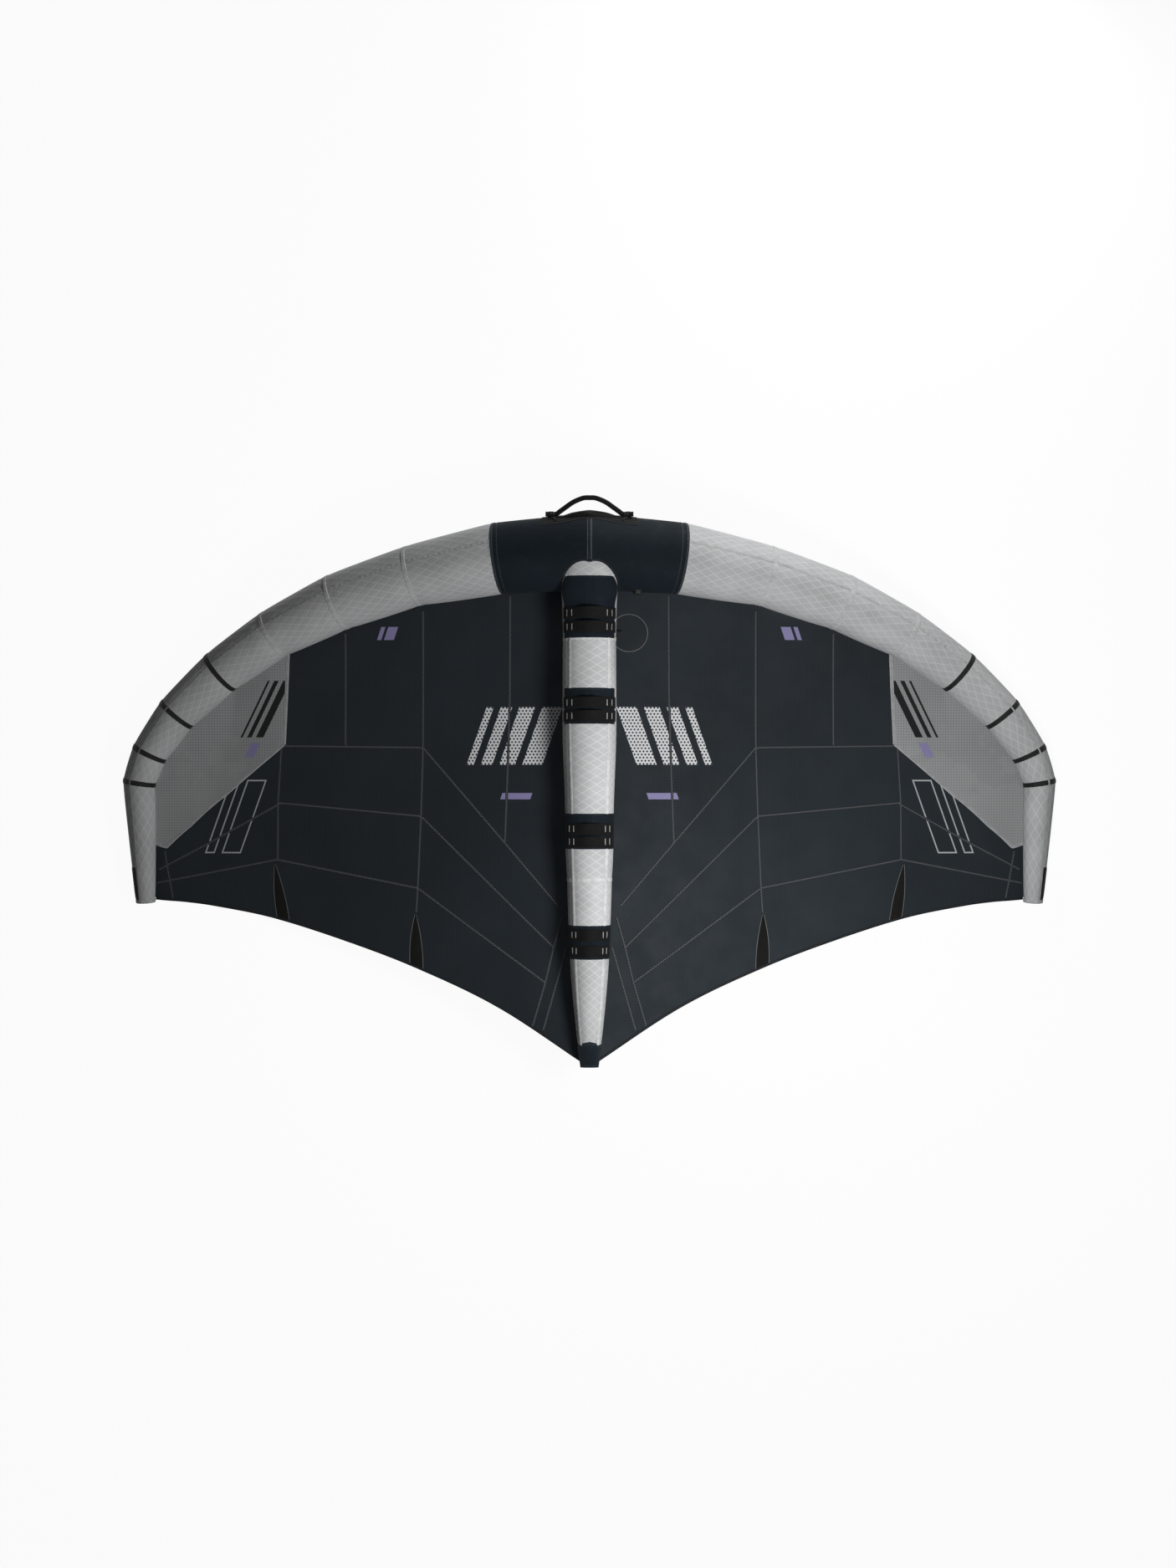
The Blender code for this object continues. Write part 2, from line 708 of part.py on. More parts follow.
def make_strut_bladder(strut, parts, cutters, hole):
    def ring(y, offset):
        middle = Vector((0, y, strut.axis(y)))
        points = []
        for step in range(0, STRUT_SIDES, STRUT_SIDES // STRUT_BLADDER_SIDES):
            spoke = lerp(strut.corner(y, step), strut.corner(y, step + 1), 0.5) - middle
            points.append(middle + spoke + spoke.normalized() * offset)
        return points

    places = strut.places(*STRUT_BLADDER_SHARES)
    skin = -SLEEVE_WALL - 2 * GAP
    shape = bmesh.new()
    loft(shape, [ring(y, skin) for y in places])
    name = "strut_bladder"
    bladder = add_object(name, mesh_from_bmesh(name, shape), bladder_film(), parts)
    inside = [places[0] - BLADDER_WALL, *places[1:-1], places[-1] + BLADDER_WALL]
    air = bmesh.new()
    loft(air, [ring(y, skin - BLADDER_WALL) for y in inside])
    cut(bladder, cutter("strut_air", mesh_from_bmesh("strut_air", air), cutters))
    cut(bladder, hole)


def make_saddle_seam(tube, strut, parts, cutters):
    """The flange of cloth on the leading edge round the strut's nose."""
    wrap = range(-STRUT_SIDES // 4 - 1, STRUT_SIDES // 4 + 1)
    places = strut.places(0.0, STRUT_BLADDER_SHARES[0])
    front = [[strut.corner(y, s, GAP + SADDLE_FLANGE) for s in wrap] for y in places]
    inner = [[strut.corner(y, s, GAP) for s in wrap] for y in places]
    shape = bmesh.new()
    plate(shape, front, inner)
    name = "strut_saddle_seam"
    seam = add_object(name, mesh_from_bmesh(name, shape), navy_fabric(), parts)
    cut(seam, tube_cutter("saddle_inside", tube, GAP, cutters))
    cut(seam, tube_cutter("saddle_outside", tube, GAP + SADDLE_THICKNESS, cutters), "INTERSECT")


def make_pads(strut, seam_cut, parts):
    """Pads over the top of the strut, the first cut back along the saddle seam."""
    for number, (edges, wrap) in enumerate(zip(PAD_EDGE_SHARES, PAD_WRAP_STEPS), 1):
        places = strut.places(*edges)
        steps = range(-wrap, wrap)
        top = [[strut.corner(y, s, GAP + PAD_THICKNESS) for s in steps] for y in places]
        bottom = [[strut.corner(y, s, GAP) for s in steps] for y in places]
        shape = bmesh.new()
        plate(shape, top, bottom)
        name = f"strut_pad_{number}"
        pad = add_object(name, mesh_from_bmesh(name, shape), navy_fabric(), parts)
        if number == 1:
            cut(pad, seam_cut)


def strap_angles():
    """Angles across the strut: the pad's corners at the feet, twice as many in the middle."""
    foot = [(s + 0.5) * STRUT_STEP for s in range(STRAP_FOOT_STEPS, STRAP_END_STEPS)]
    free = [s * STRUT_STEP / 2 for s in range(1, 2 * STRAP_FOOT_STEPS)]
    half = free + foot
    return [-angle for angle in reversed(half)] + [0.0] + half


def make_straps(strut, parts):
    """Two webbing straps over each pad, sewn down at both ends and raised between."""
    free_angle = (STRAP_FOOT_STEPS - 0.5) * STRUT_STEP
    seat = GAP + PAD_THICKNESS + GAP
    for number, (edges, shares) in enumerate(zip(PAD_EDGE_SHARES, STRAP_PLACE_SHARES), 1):
        front, rear = (strut.place(share) for share in edges)
        for word, share in zip(("front", "rear"), sorted(shares)):
            middle = lerp(front, rear, share)
            ends = (middle + STRAP_WIDTH / 2, middle - STRAP_WIDTH / 2)
            top = [strap_line(strut, y, seat + STRAP_THICKNESS, free_angle) for y in ends]
            bottom = [strap_line(strut, y, seat, free_angle) for y in ends]
            shape = bmesh.new()
            plate(shape, top, bottom)
            name = f"pad_{number}_strap_{word}"
            add_object(name, mesh_from_bmesh(name, shape), black_webbing(), parts)


def strap_line(strut, y, offset, free_angle):
    points = []
    for angle in strap_angles():
        lift = 0.0
        if abs(angle) < free_angle:
            lift = STRAP_LIFT * math.cos(math.pi / 2 * angle / free_angle) ** 2
        points.append(strut.point(y, angle, offset + lift))
    return points


def make_canopy(canopy, parts):
    for side, word in ((1, "right"), (-1, "left")):
        pieces = (
            ("inner", range(0, INNER_SEAM_COLUMN + 1)),
            ("outer", range(INNER_SEAM_COLUMN, OUTER_SEAM_COLUMN + 1)),
        )
        for piece, columns in pieces:
            grid = [[canopy.column_point(k, t) for k in columns] for t in canopy.rows]
            grid = mirrored_grid(canopy.inset(grid), side)
            name = f"canopy_{piece}_{word}"
            add_cloth(name, grid, CANOPY_THICKNESS, canopy_ripstop(), parts)
        make_tip_panels(canopy, side, word, parts)


def make_tip_panels(canopy, side, word, parts):
    """The grey ripstop panel behind the tube and the dark wingtip behind it."""
    columns = range(OUTER_SEAM_COLUMN, TIP_COLUMN + 1)
    seam = TIP_SEAM_SHARES[0]
    before = [t / seam for t in canopy.rows if t <= seam]
    behind = [(t - seam) / (1 - seam) for t in canopy.rows if t >= seam]
    pieces = (
        ("grey_tip", before, 0, grey_ripstop()),
        ("wingtip", behind, 1, canopy_ripstop()),
    )
    for piece, shares, rear_part, paint in pieces:
        grid = []
        for share in shares:
            row = []
            for k, at in zip(columns, TIP_SEAM_SHARES):
                half_gap = GAP / 2 / (canopy.rear[k] - canopy.front[k]).length
                ends = (at + half_gap, 1.0) if rear_part else (0.0, at - half_gap)
                row.append(canopy.column_point(k, lerp(*ends, share)))
            grid.append(row)
        grid = mirrored_grid(canopy.inset(grid), side)
        add_cloth(f"canopy_{piece}_{word}", grid, CANOPY_THICKNESS, paint, parts)


def make_hems(canopy, parts):
    """The folded hem along each half of the trailing edge."""
    for side, word in ((1, "right"), (-1, "left")):
        line = canopy.rear[:-1] + [lerp(canopy.rear[-2], canopy.rear[-1], HEM_END_SHARE)]
        near = [point + AFT * GAP for point in line]
        far = [point + AFT * (GAP + HEM_WIDTH) for point in line]
        near[0] = near[0] + OUTBOARD * GAP / 2
        far[0] = far[0] + OUTBOARD * GAP / 2
        grid = [mirrored(near, side), mirrored(far, side)]
        add_cloth(f"trailing_edge_hem_{word}", grid, HEM_THICKNESS, canopy_ripstop(), parts)


def make_battens(canopy, parts):
    """Pointed pockets on the canopy's seams at the trailing edge, each sewn over its batten."""
    for side, word in ((1, "right"), (-1, "left")):
        for place, column in (("inner", INNER_SEAM_COLUMN), ("outer", OUTER_SEAM_COLUMN)):
            start = 1 - BATTEN_LENGTH / (canopy.rear[column] - canopy.front[column]).length
            rows = [start] + [t for t in canopy.rows if t > start]
            seat = UP * BATTEN_CLEARANCE
            cloth = UP * POCKET_THICKNESS
            ridge = cloth + UP * BATTEN_THICKNESS
            top = []
            bottom = []
            for t in rows:
                spread = lerp(BATTEN_POINT_SHARE, 1.0, (t - start) / (1 - start))
                reach = BATTEN_HALF_WIDTH * spread
                line = [canopy.beside(column, x, t) + seat for x in (-reach, 0.0, reach)]
                bottom.append(line)
                top.append([line[0] + cloth, line[1] + ridge, line[2] + cloth])
            shape = bmesh.new()
            plate(shape, mirrored_grid(top, side), mirrored_grid(bottom, side))
            name = f"batten_{place}_{word}"
            add_object(name, mesh_from_bmesh(name, shape), black_webbing(), parts)


def make_handle_base(tube, hinge, parts, cutters):
    """The strip that follows the tube under the front handle, with the keepers sewn on it."""
    share = tube.share_at_reach(HANDLE_BASE_REACH)
    grids = []
    for offset in (HANDLE_BASE_CLEARANCE + HANDLE_BASE_THICKNESS, HANDLE_BASE_CLEARANCE):
        middle, right = [
            [tube.segment_point(0, e, s, offset) for s in HANDLE_BASE_STEPS] for e in (0.0, share)
        ]
        grids.append([mirrored(right, -1), middle, right])
    shape = bmesh.new()
    plate(shape, *grids)
    name = "handle_base"
    base = add_object(name, mesh_from_bmesh(name, shape), black_webbing(), parts)
    for side, word in ((1, "right"), (-1, "left")):
        label = f"handle_keeper_{word}"
        keeper = mesh_from_bmesh(label, keeper_loop(tube, hinge, side))
        cut(base, cutter(label, keeper, cutters), "UNION")


def keeper_loop(tube, hinge, side):
    """A webbing keeper over a foot of the handle, rooted in the base on both sides of it."""
    step = HANDLE_BASE_STEPS[1]
    spoke = tube.segment_point(0, 0.0, step, HANDLE_RADIUS) - tube.corner(0, step)
    radial = spoke.normalized()
    tangent = radial.cross(OUTBOARD)
    bore = HANDLE_RADIUS + GAP
    rim = bore + KEEPER_THICKNESS
    arc = [math.pi * i / KEEPER_ARC_STEPS for i in range(KEEPER_ARC_STEPS + 1)]

    def foot(reach, sign):
        """The level of the middle of the base's cloth under one leg, from the hinge line."""
        share = tube.share_at_reach(reach)
        cloth = HANDLE_BASE_CLEARANCE + HANDLE_BASE_THICKNESS / 2
        ridge = tube.segment_point(0, share, step, cloth) - hinge
        aside = abs(sign * rim - ridge.dot(tangent))
        return ridge.dot(radial) - aside * math.tan(TUBE_STEP / 2)

    def outline(reach, radius):
        middle = Vector((side * reach, hinge.y, hinge.z))
        points = [middle + tangent * radius + radial * foot(reach, 1)]
        for angle in arc:
            sideways, outwards = math.cos(angle), math.sin(angle)
            points.append(middle + (tangent * sideways + radial * outwards) * radius)
        points.append(middle - tangent * radius + radial * foot(reach, -1))
        return points

    ends = (KEEPER_PLACE - KEEPER_WIDTH / 2, KEEPER_PLACE + KEEPER_WIDTH / 2)
    shape = bmesh.new()
    plate(shape, [outline(e, rim) for e in ends], [outline(e, bore) for e in ends])
    return shape


def make_knuckle_pad(tube, parts):
    """The pad that keeps the knuckles off the tube, highest in the middle."""
    first, _, last = HANDLE_BASE_STEPS
    steps = (lerp(first, last, 0.25), lerp(first, last, 0.5), lerp(first, last, 0.75))
    seat = HANDLE_BASE_CLEARANCE + HANDLE_BASE_THICKNESS + GAP

    def line(share, offset):
        places = abs(share)
        along = tube.share_at_reach(KNUCKLE_REACH) * places
        points = []
        for step in steps:
            low = tube.segment_point(0, along, math.floor(step), offset)
            high = tube.segment_point(0, along, math.floor(step) + 1, offset)
            points.append(lerp(low, high, step - math.floor(step)))
        return mirrored(points, -1 if share < 0 else 1)

    shares = [i / KNUCKLE_COLUMNS * 2 - 1 for i in range(KNUCKLE_COLUMNS + 1)]
    top = []
    for share in shares:
        crown = lerp(KNUCKLE_HEIGHT, KNUCKLE_EDGE_HEIGHT, share**2)
        edge = line(share, seat + KNUCKLE_EDGE_HEIGHT)
        middle = line(share, seat + crown)
        top.append([edge[0], middle[1], edge[2]])
    bottom = [line(share, seat) for share in shares]
    shape = bmesh.new()
    plate(shape, top, bottom)
    name = "handle_knuckle_pad"
    add_object(name, mesh_from_bmesh(name, shape), navy_fabric(), parts)


def handle_hinge(tube):
    """The middle of the hinge line through the handle's feet."""
    share = tube.share_at_reach(HANDLE_FOOT_INNER * HANDLE_REACH_SHARES[0])
    seat = HANDLE_BASE_CLEARANCE + HANDLE_BASE_THICKNESS + GAP + HANDLE_RADIUS
    foot = tube.segment_point(0, share, HANDLE_BASE_STEPS[1], seat)
    return Vector((0, foot.y, foot.z))


def make_handle_grip(hinge, root, parts):
    """The webbing-covered tube of the front handle, with its origin on the hinge line."""
    line = [(HANDLE_FOOT_OUTER, 0.0), (HANDLE_FOOT_INNER, 0.0)]
    for reach, rise in zip(HANDLE_REACH_SHARES, HANDLE_RISE_SHARES):
        line.append((HANDLE_FOOT_INNER * reach, HANDLE_RISE * rise))
    line += [(-reach, rise) for reach, rise in reversed(line[:-1])]
    forward = Vector((0, math.cos(HANDLE_ELEVATION), math.sin(HANDLE_ELEVATION)))
    curve = bpy.data.curves.new("handle_grip", "CURVE")
    curve.dimensions = "3D"
    curve.bevel_depth = HANDLE_RADIUS
    curve.bevel_resolution = 2
    curve.use_fill_caps = True
    curve.resolution_u = 3
    spline = curve.splines.new("BEZIER")
    spline.bezier_points.add(len(line) - 1)
    for knot, (reach, rise) in zip(spline.bezier_points, line):
        knot.co = OUTBOARD * reach + forward * rise
        ease = OUTBOARD * HANDLE_FOOT_EASE
        kind = "AUTO" if rise else "FREE"
        knot.handle_left_type = kind
        knot.handle_right_type = kind
        knot.handle_left = knot.co + ease
        knot.handle_right = knot.co - ease
    curve.materials.append(black_webbing())
    grip = bpy.data.objects.new("handle_grip", curve)
    parts.objects.link(grip)
    pivot = add_empty("handle_pivot", hinge, parts)
    pivot.parent = root
    grip.parent = pivot


def valve_frame(tube):
    """The valve's place on the tube's facet, with +Z out of the facet and +Y towards the top."""
    share = tube.share_at_reach(VALVE_REACH)
    low, high = (tube.segment_point(0, share, step) for step in VALVE_STEPS)
    inner = tube.corner(0, VALVE_STEPS[0])
    outer = tube.corner(1, VALVE_STEPS[0])
    sideways = (outer - inner).normalized()
    normal = sideways.cross(high - low).normalized()
    upwards = normal.cross(sideways)
    turn = Matrix((sideways, upwards, normal)).transposed().to_4x4()
    return Matrix.Translation((low + high) / 2) @ turn


def turned(name, profile, paint, parts, frame, closed):
    """A solid of revolution about local Z, from its profile of radius and height."""
    shape = bmesh.new()
    corners = [shape.verts.new((radius, 0, height)) for radius, height in profile]
    for near, far in zip(corners, corners[1:]):
        shape.edges.new((near, far))
    if closed:
        shape.edges.new((corners[-1], corners[0]))
    mesh = bpy.data.meshes.new(name)
    shape.to_mesh(mesh)
    shape.free()
    thing = add_object(name, mesh, paint, parts)
    screw = thing.modifiers.new("turn", "SCREW")
    screw.steps = ROUND_STEPS
    screw.render_steps = ROUND_STEPS
    screw.use_merge_vertices = True
    screw.merge_threshold = MERGE_DISTANCE
    screw.use_normal_calculate = False
    thing.matrix_world = frame
    return thing


def baked(thing, frame):
    """The object's evaluated mesh as a plain mesh in the same frame."""
    depsgraph = bpy.context.evaluated_depsgraph_get()
    mesh = bpy.data.meshes.new_from_object(thing.evaluated_get(depsgraph))
    shape = bmesh.new()
    shape.from_mesh(mesh)
    bmesh.ops.remove_doubles(shape, verts=shape.verts, dist=MERGE_DISTANCE)
    bmesh.ops.recalc_face_normals(shape, faces=shape.faces)
    shape.to_mesh(mesh)
    shape.free()
    mesh.shade_smooth()
    mesh.set_sharp_from_angle(angle=SMOOTH_ANGLE)
    name = thing.name
    paint = mesh.materials[0]
    collection = thing.users_collection[0]
    bpy.data.objects.remove(thing, do_unlink=True)
    plain = add_object(name, mesh, paint, collection)
    plain.matrix_world = frame
    return plain


def rod(name, radius, start, stop, sides, collection, paint=None):
    """A closed cylinder from one point to another."""
    shape = bmesh.new()
    axis = stop - start
    bmesh.ops.create_cone(
        shape,
        cap_ends=True,
        segments=sides,
        radius1=radius,
        radius2=radius,
        depth=axis.length,
    )
    turn = UP.rotation_difference(axis.normalized()).to_matrix().to_4x4()
    bmesh.ops.transform(shape, matrix=Matrix.Translation((start + stop) / 2) @ turn, verts=shape.verts)
    mesh = mesh_from_bmesh(name, shape)
    if paint:
        return add_object(name, mesh, paint, collection)
    return cutter(name, mesh, collection)


def block(name, low, high, collection, frame=None):
    """A box cutter or union piece between two corners."""
    shape = bmesh.new()
    bmesh.ops.create_cube(shape, size=1.0)
    size = high - low
    scale = Matrix.Diagonal((*size, 1.0))
    bmesh.ops.transform(shape, matrix=Matrix.Translation((low + high) / 2) @ scale, verts=shape.verts)
    thing = cutter(name, mesh_from_bmesh(name, shape, smooth=False), collection)
    if frame:
        thing.matrix_world = frame
    return thing


def make_valve_body(frame, parts, cutters):
    flange_top = GAP + VALVE_FLANGE_THICKNESS
    seat_low = -VALVE_SEAT_DEPTH - VALVE_SEAT_THICKNESS
    profile = (
        (VALVE_NECK_RADIUS, VALVE_NECK_HEIGHT),
        (VALVE_NECK_RADIUS, flange_top),
        (VALVE_FLANGE_RADIUS, flange_top),
        (VALVE_FLANGE_RADIUS, GAP),
        (VALVE_SKIRT_RADIUS, GAP),
        (VALVE_SKIRT_RADIUS, -VALVE_SKIRT_DEPTH),
        (VALVE_BORE_RADIUS, -VALVE_SKIRT_DEPTH),
        (VALVE_BORE_RADIUS, seat_low),
        (VALVE_SEAT_RADIUS, seat_low),
        (VALVE_SEAT_RADIUS, -VALVE_SEAT_DEPTH),
        (VALVE_BORE_RADIUS, -VALVE_SEAT_DEPTH),
        (VALVE_BORE_RADIUS, VALVE_NECK_HEIGHT),
    )
    body = baked(turned("valve_body", profile, black_plastic(), parts, frame, True), frame)
    inside = CAP_ARM_WIDTH / 2 + GAP
    for side in (1, -1):
        ends = sorted((side * inside, side * (inside + LUG_WIDTH)))
        low = Vector((ends[0], HINGE_PLACE - LUG_HALF_DEPTH, flange_top - GAP))
        high = Vector((ends[1], HINGE_PLACE + LUG_HALF_DEPTH, HINGE_HEIGHT + LUG_HALF_DEPTH))
        cut(body, block(f"valve_lug_{side + 1}", low, high, cutters, frame), "UNION")
    reach = Vector((inside + LUG_WIDTH / 2, 0, 0))
    middle = Vector((0, HINGE_PLACE, HINGE_HEIGHT))
    pin = rod("valve_pin", HINGE_PIN_RADIUS, middle - reach, middle + reach, 8, cutters)
    pin.matrix_world = frame
    cut(body, pin, "UNION")
    return body


def make_valve_cap(frame, root, parts, cutters):
    """The cap over the valve's neck, with its arm round the hinge pin."""
    inner = VALVE_NECK_RADIUS + CAP_CLEARANCE
    outer = inner + CAP_WALL
    low = 2 * GAP + VALVE_FLANGE_THICKNESS
    ceiling = VALVE_NECK_HEIGHT + GAP
    top = ceiling + CAP_TOP
    profile = (
        (0, top),
        (outer - CAP_TOP / 2, top),
        (outer, top - CAP_TOP / 2),
        (outer, low),
        (inner, low),
        (inner, ceiling),
        (0, ceiling),
    )
    cap = baked(turned("valve_cap", profile, black_plastic(), parts, frame, False), frame)
    half = CAP_ARM_WIDTH / 2
    knuckle = HINGE_HEIGHT - low
    arm_low = Vector((-half, inner + CAP_WALL / 2, HINGE_HEIGHT - knuckle * 0.8))
    arm_high = Vector((half, HINGE_PLACE, HINGE_HEIGHT + knuckle * 0.8))
    cut(cap, block("cap_arm", arm_low, arm_high, cutters, frame), "UNION")
    middle = Vector((0, HINGE_PLACE, HINGE_HEIGHT))
    along = Vector((half, 0, 0))
    eye = rod("cap_eye", knuckle - GAP, middle - along, middle + along, 12, cutters)
    eye.matrix_world = frame
    cut(cap, eye, "UNION")
    along = Vector((half + OVERRUN, 0, 0))
    bore = rod("cap_bore", HINGE_PIN_RADIUS + GAP, middle - along, middle + along, 8, cutters)
    bore.matrix_world = frame
    cut(cap, bore)
    hinge = frame @ middle
    pivot = add_empty("valve_cap_pivot", hinge, parts)
    pivot.parent = root
    hang(cap, frame, pivot, hinge)


def make_poppet(frame, root, parts):
    """The one-way valve's disc under its seat, with the stem that is pressed to let air out."""
    top = -VALVE_SEAT_DEPTH - VALVE_SEAT_THICKNESS - GAP
    head = POPPET_STEM_TOP + POPPET_HEAD_HEIGHT
    profile = (
        (0, head),
        (POPPET_HEAD_RADIUS, head),
        (POPPET_HEAD_RADIUS, POPPET_STEM_TOP),
        (POPPET_STEM_RADIUS, POPPET_STEM_TOP),
        (POPPET_STEM_RADIUS, top),
        (POPPET_RADIUS, top),
        (POPPET_RADIUS, top - POPPET_THICKNESS),
        (0, top - POPPET_THICKNESS),
    )
    poppet = baked(turned("valve_poppet", profile, black_plastic(), parts, frame, False), frame)
    pivot = add_empty("valve_poppet_slide", frame.translation, parts)
    pivot.parent = root
    hang(poppet, frame, pivot, frame.translation)


def hang(thing, frame, pivot, place):
    """Parents an object that has a frame to an empty that stands at a place."""
    thing.parent = pivot
    thing.matrix_basis = Matrix.Translation(-place) @ frame


def make_hose(tube, strut, parts):
    """The air hose from the leading edge's bladder to the strut's."""
    place = hose_places(tube, strut)
    collar = HOSE_COLLAR_LENGTH
    start, sleeve, bladder, stop = place
    profile = (
        (HOSE_RADIUS, start),
        (HOSE_RADIUS, sleeve),
        (HOSE_COLLAR_RADIUS, sleeve),
        (HOSE_COLLAR_RADIUS, sleeve - collar),
        (HOSE_RADIUS, sleeve - collar),
        (HOSE_RADIUS, bladder + collar),
        (HOSE_COLLAR_RADIUS, bladder + collar),
        (HOSE_COLLAR_RADIUS, bladder),
        (HOSE_RADIUS, bladder),
        (HOSE_RADIUS, stop),
        (HOSE_BORE_RADIUS, stop),
        (HOSE_BORE_RADIUS, start),
    )
    frame = hose_frame(strut)
    baked(turned("air_hose", profile, black_plastic(), parts, frame, True), frame)


def hose_frame(strut):
    """The hose's axis: local Z runs forward along Y."""
    turn = Matrix.Rotation(-math.pi / 2, 4, "X")
    middle = Vector((HOSE_REACH, 0, strut.axis(strut.canopy_front)))
    return Matrix.Translation(middle) @ turn


def hose_places(tube, strut):
    """Along Y: the hose's front end, the sleeve's collar, the bladder's collar, the rear end."""
    low, high = (tube.corner(0, step) for step in VALVE_STEPS)
    face = min(low.y, high.y)
    bladder = strut.place(STRUT_BLADDER_SHARES[0])
    return face + HOSE_END, face - GAP, bladder + GAP, bladder - HOSE_END


def make_pull_tab(strut, parts):
    """A short webbing tab that stands out of the strut's right side."""
    y = strut.place(TAB_STATION_SHARE)
    root = strut.corner(y, STRUT_SIDES // 4 - 1)
    low = Vector((root.x + GAP, y - TAB_WIDTH / 2, strut.axis(y) - TAB_THICKNESS / 2))
    size = Vector((TAB_LENGTH, TAB_WIDTH, TAB_THICKNESS))
    shape = bmesh.new()
    bmesh.ops.create_cube(shape, size=1.0)
    scale = Matrix.Diagonal((*size, 1.0))
    bmesh.ops.transform(shape, matrix=Matrix.Translation(low + size / 2) @ scale, verts=shape.verts)
    name = "strut_pull_tab"
    tab = add_object(name, mesh_from_bmesh(name, shape, smooth=False), black_webbing(), parts)
    bevel = tab.modifiers.new("soft_edges", "BEVEL")
    bevel.width = TAB_THICKNESS / 4
    bevel.segments = 1


def add_empty(name, place, parts):
    empty = bpy.data.objects.new(name, None)
    empty.location = place
    parts.objects.link(empty)
    return empty


def stand_on_origin(root, parts):
    """Moves the whole wing so that the middle of its footprint lies on the origin."""
    bpy.context.view_layer.update()
    depsgraph = bpy.context.evaluated_depsgraph_get()
    corners = []
    for thing in parts.objects:
        if thing.type == "EMPTY":
            continue
        whole = thing.evaluated_get(depsgraph)
        mesh = whole.to_mesh()
        corners += [whole.matrix_world @ vertex.co for vertex in mesh.vertices]
        whole.to_mesh_clear()
    front = max(corner.y for corner in corners)
    rear = min(corner.y for corner in corners)
    floor = min(corner.z for corner in corners)
    root.location = (0, -(front + rear) / 2, -floor)


def main():
    clear_scene()
    parts = new_collection("wingfoil_wing")
    cutters = new_collection("cutters")
    root = add_empty("wing_root", (0, 0, 0), parts)

    tube = Tube()
    strut = Strut(tube)
    canopy = Canopy(tube, strut)

    saddle = tube_cutter("saddle_cut", tube, GAP, cutters)
    seam_cut = tube_cutter("saddle_seam_cut", tube, 2 * GAP + SADDLE_THICKNESS, cutters)
    frame = valve_frame(tube)
    deep = frame @ Vector((0, 0, -VALVE_SKIRT_DEPTH - OVERRUN))
    high = frame @ Vector((0, 0, OVERRUN))
    valve_hole = rod("valve_hole", VALVE_SKIRT_RADIUS + GAP, deep, high, ROUND_STEPS, cutters)
    hose_start, _, _, hose_stop = hose_places(tube, strut)
    hose_line = hose_frame(strut)
    ahead = hose_line @ Vector((0, 0, hose_start + OVERRUN))
    behind = hose_line @ Vector((0, 0, hose_stop - OVERRUN))
    hose_hole = rod("hose_hole", HOSE_RADIUS + GAP, ahead, behind, ROUND_STEPS, cutters)

    center = make_center_panel(tube, parts)
    cut(center, valve_hole)
    cut(center, hose_hole)
    make_side_panels(tube, parts, cutters)
    make_tube_bladder(tube, parts, cutters, (valve_hole, hose_hole))
    make_tip_ends(tube, parts)

    make_strut_sleeves(strut, saddle, parts)
    make_tail_cap(strut, parts)
    make_strut_bladder(strut, parts, cutters, hose_hole)
    make_saddle_seam(tube, strut, parts, cutters)
    make_pads(strut, seam_cut, parts)
    make_straps(strut, parts)
    make_pull_tab(strut, parts)

    make_canopy(canopy, parts)
    make_hems(canopy, parts)
    make_battens(canopy, parts)

    hinge = handle_hinge(tube)
    make_handle_base(tube, hinge, parts, cutters)
    make_knuckle_pad(tube, parts)
    make_handle_grip(hinge, root, parts)

    make_valve_body(frame, parts, cutters)
    make_valve_cap(frame, root, parts, cutters)
    make_poppet(frame, root, parts)
    make_hose(tube, strut, parts)

    for thing in list(parts.objects) + list(cutters.objects):
        if thing.parent is None and thing is not root:
            thing.parent = root
    stand_on_origin(root, parts)


main()
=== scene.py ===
"""The looks of an inflatable hand-held wing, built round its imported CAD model.

The wing lies with its strut on top. +Y points to the leading edge and +Z up. Lengths are in metres.
"""

import json
import math

import bmesh
import bpy
import numpy as np
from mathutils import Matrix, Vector
from mathutils.bvhtree import BVHTree


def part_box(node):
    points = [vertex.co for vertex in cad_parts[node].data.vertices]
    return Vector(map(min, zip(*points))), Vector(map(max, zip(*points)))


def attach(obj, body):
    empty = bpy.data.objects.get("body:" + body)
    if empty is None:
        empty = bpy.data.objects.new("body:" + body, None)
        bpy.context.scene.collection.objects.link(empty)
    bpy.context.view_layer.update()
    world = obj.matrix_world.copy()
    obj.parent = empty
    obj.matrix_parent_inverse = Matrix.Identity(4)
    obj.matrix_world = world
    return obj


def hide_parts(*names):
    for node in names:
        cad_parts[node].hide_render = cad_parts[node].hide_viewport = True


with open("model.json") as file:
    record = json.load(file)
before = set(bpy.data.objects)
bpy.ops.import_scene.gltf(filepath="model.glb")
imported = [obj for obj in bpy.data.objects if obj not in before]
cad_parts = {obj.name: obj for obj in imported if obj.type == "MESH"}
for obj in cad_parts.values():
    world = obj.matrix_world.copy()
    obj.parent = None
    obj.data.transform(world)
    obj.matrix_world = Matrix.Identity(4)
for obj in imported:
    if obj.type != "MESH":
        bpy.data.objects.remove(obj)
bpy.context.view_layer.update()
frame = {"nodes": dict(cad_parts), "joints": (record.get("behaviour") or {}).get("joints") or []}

# Cloth and clearances, as in the CAD model
GAP = 0.0003
SLEEVE_WALL = 0.0010
CANOPY_THICKNESS = 0.0012

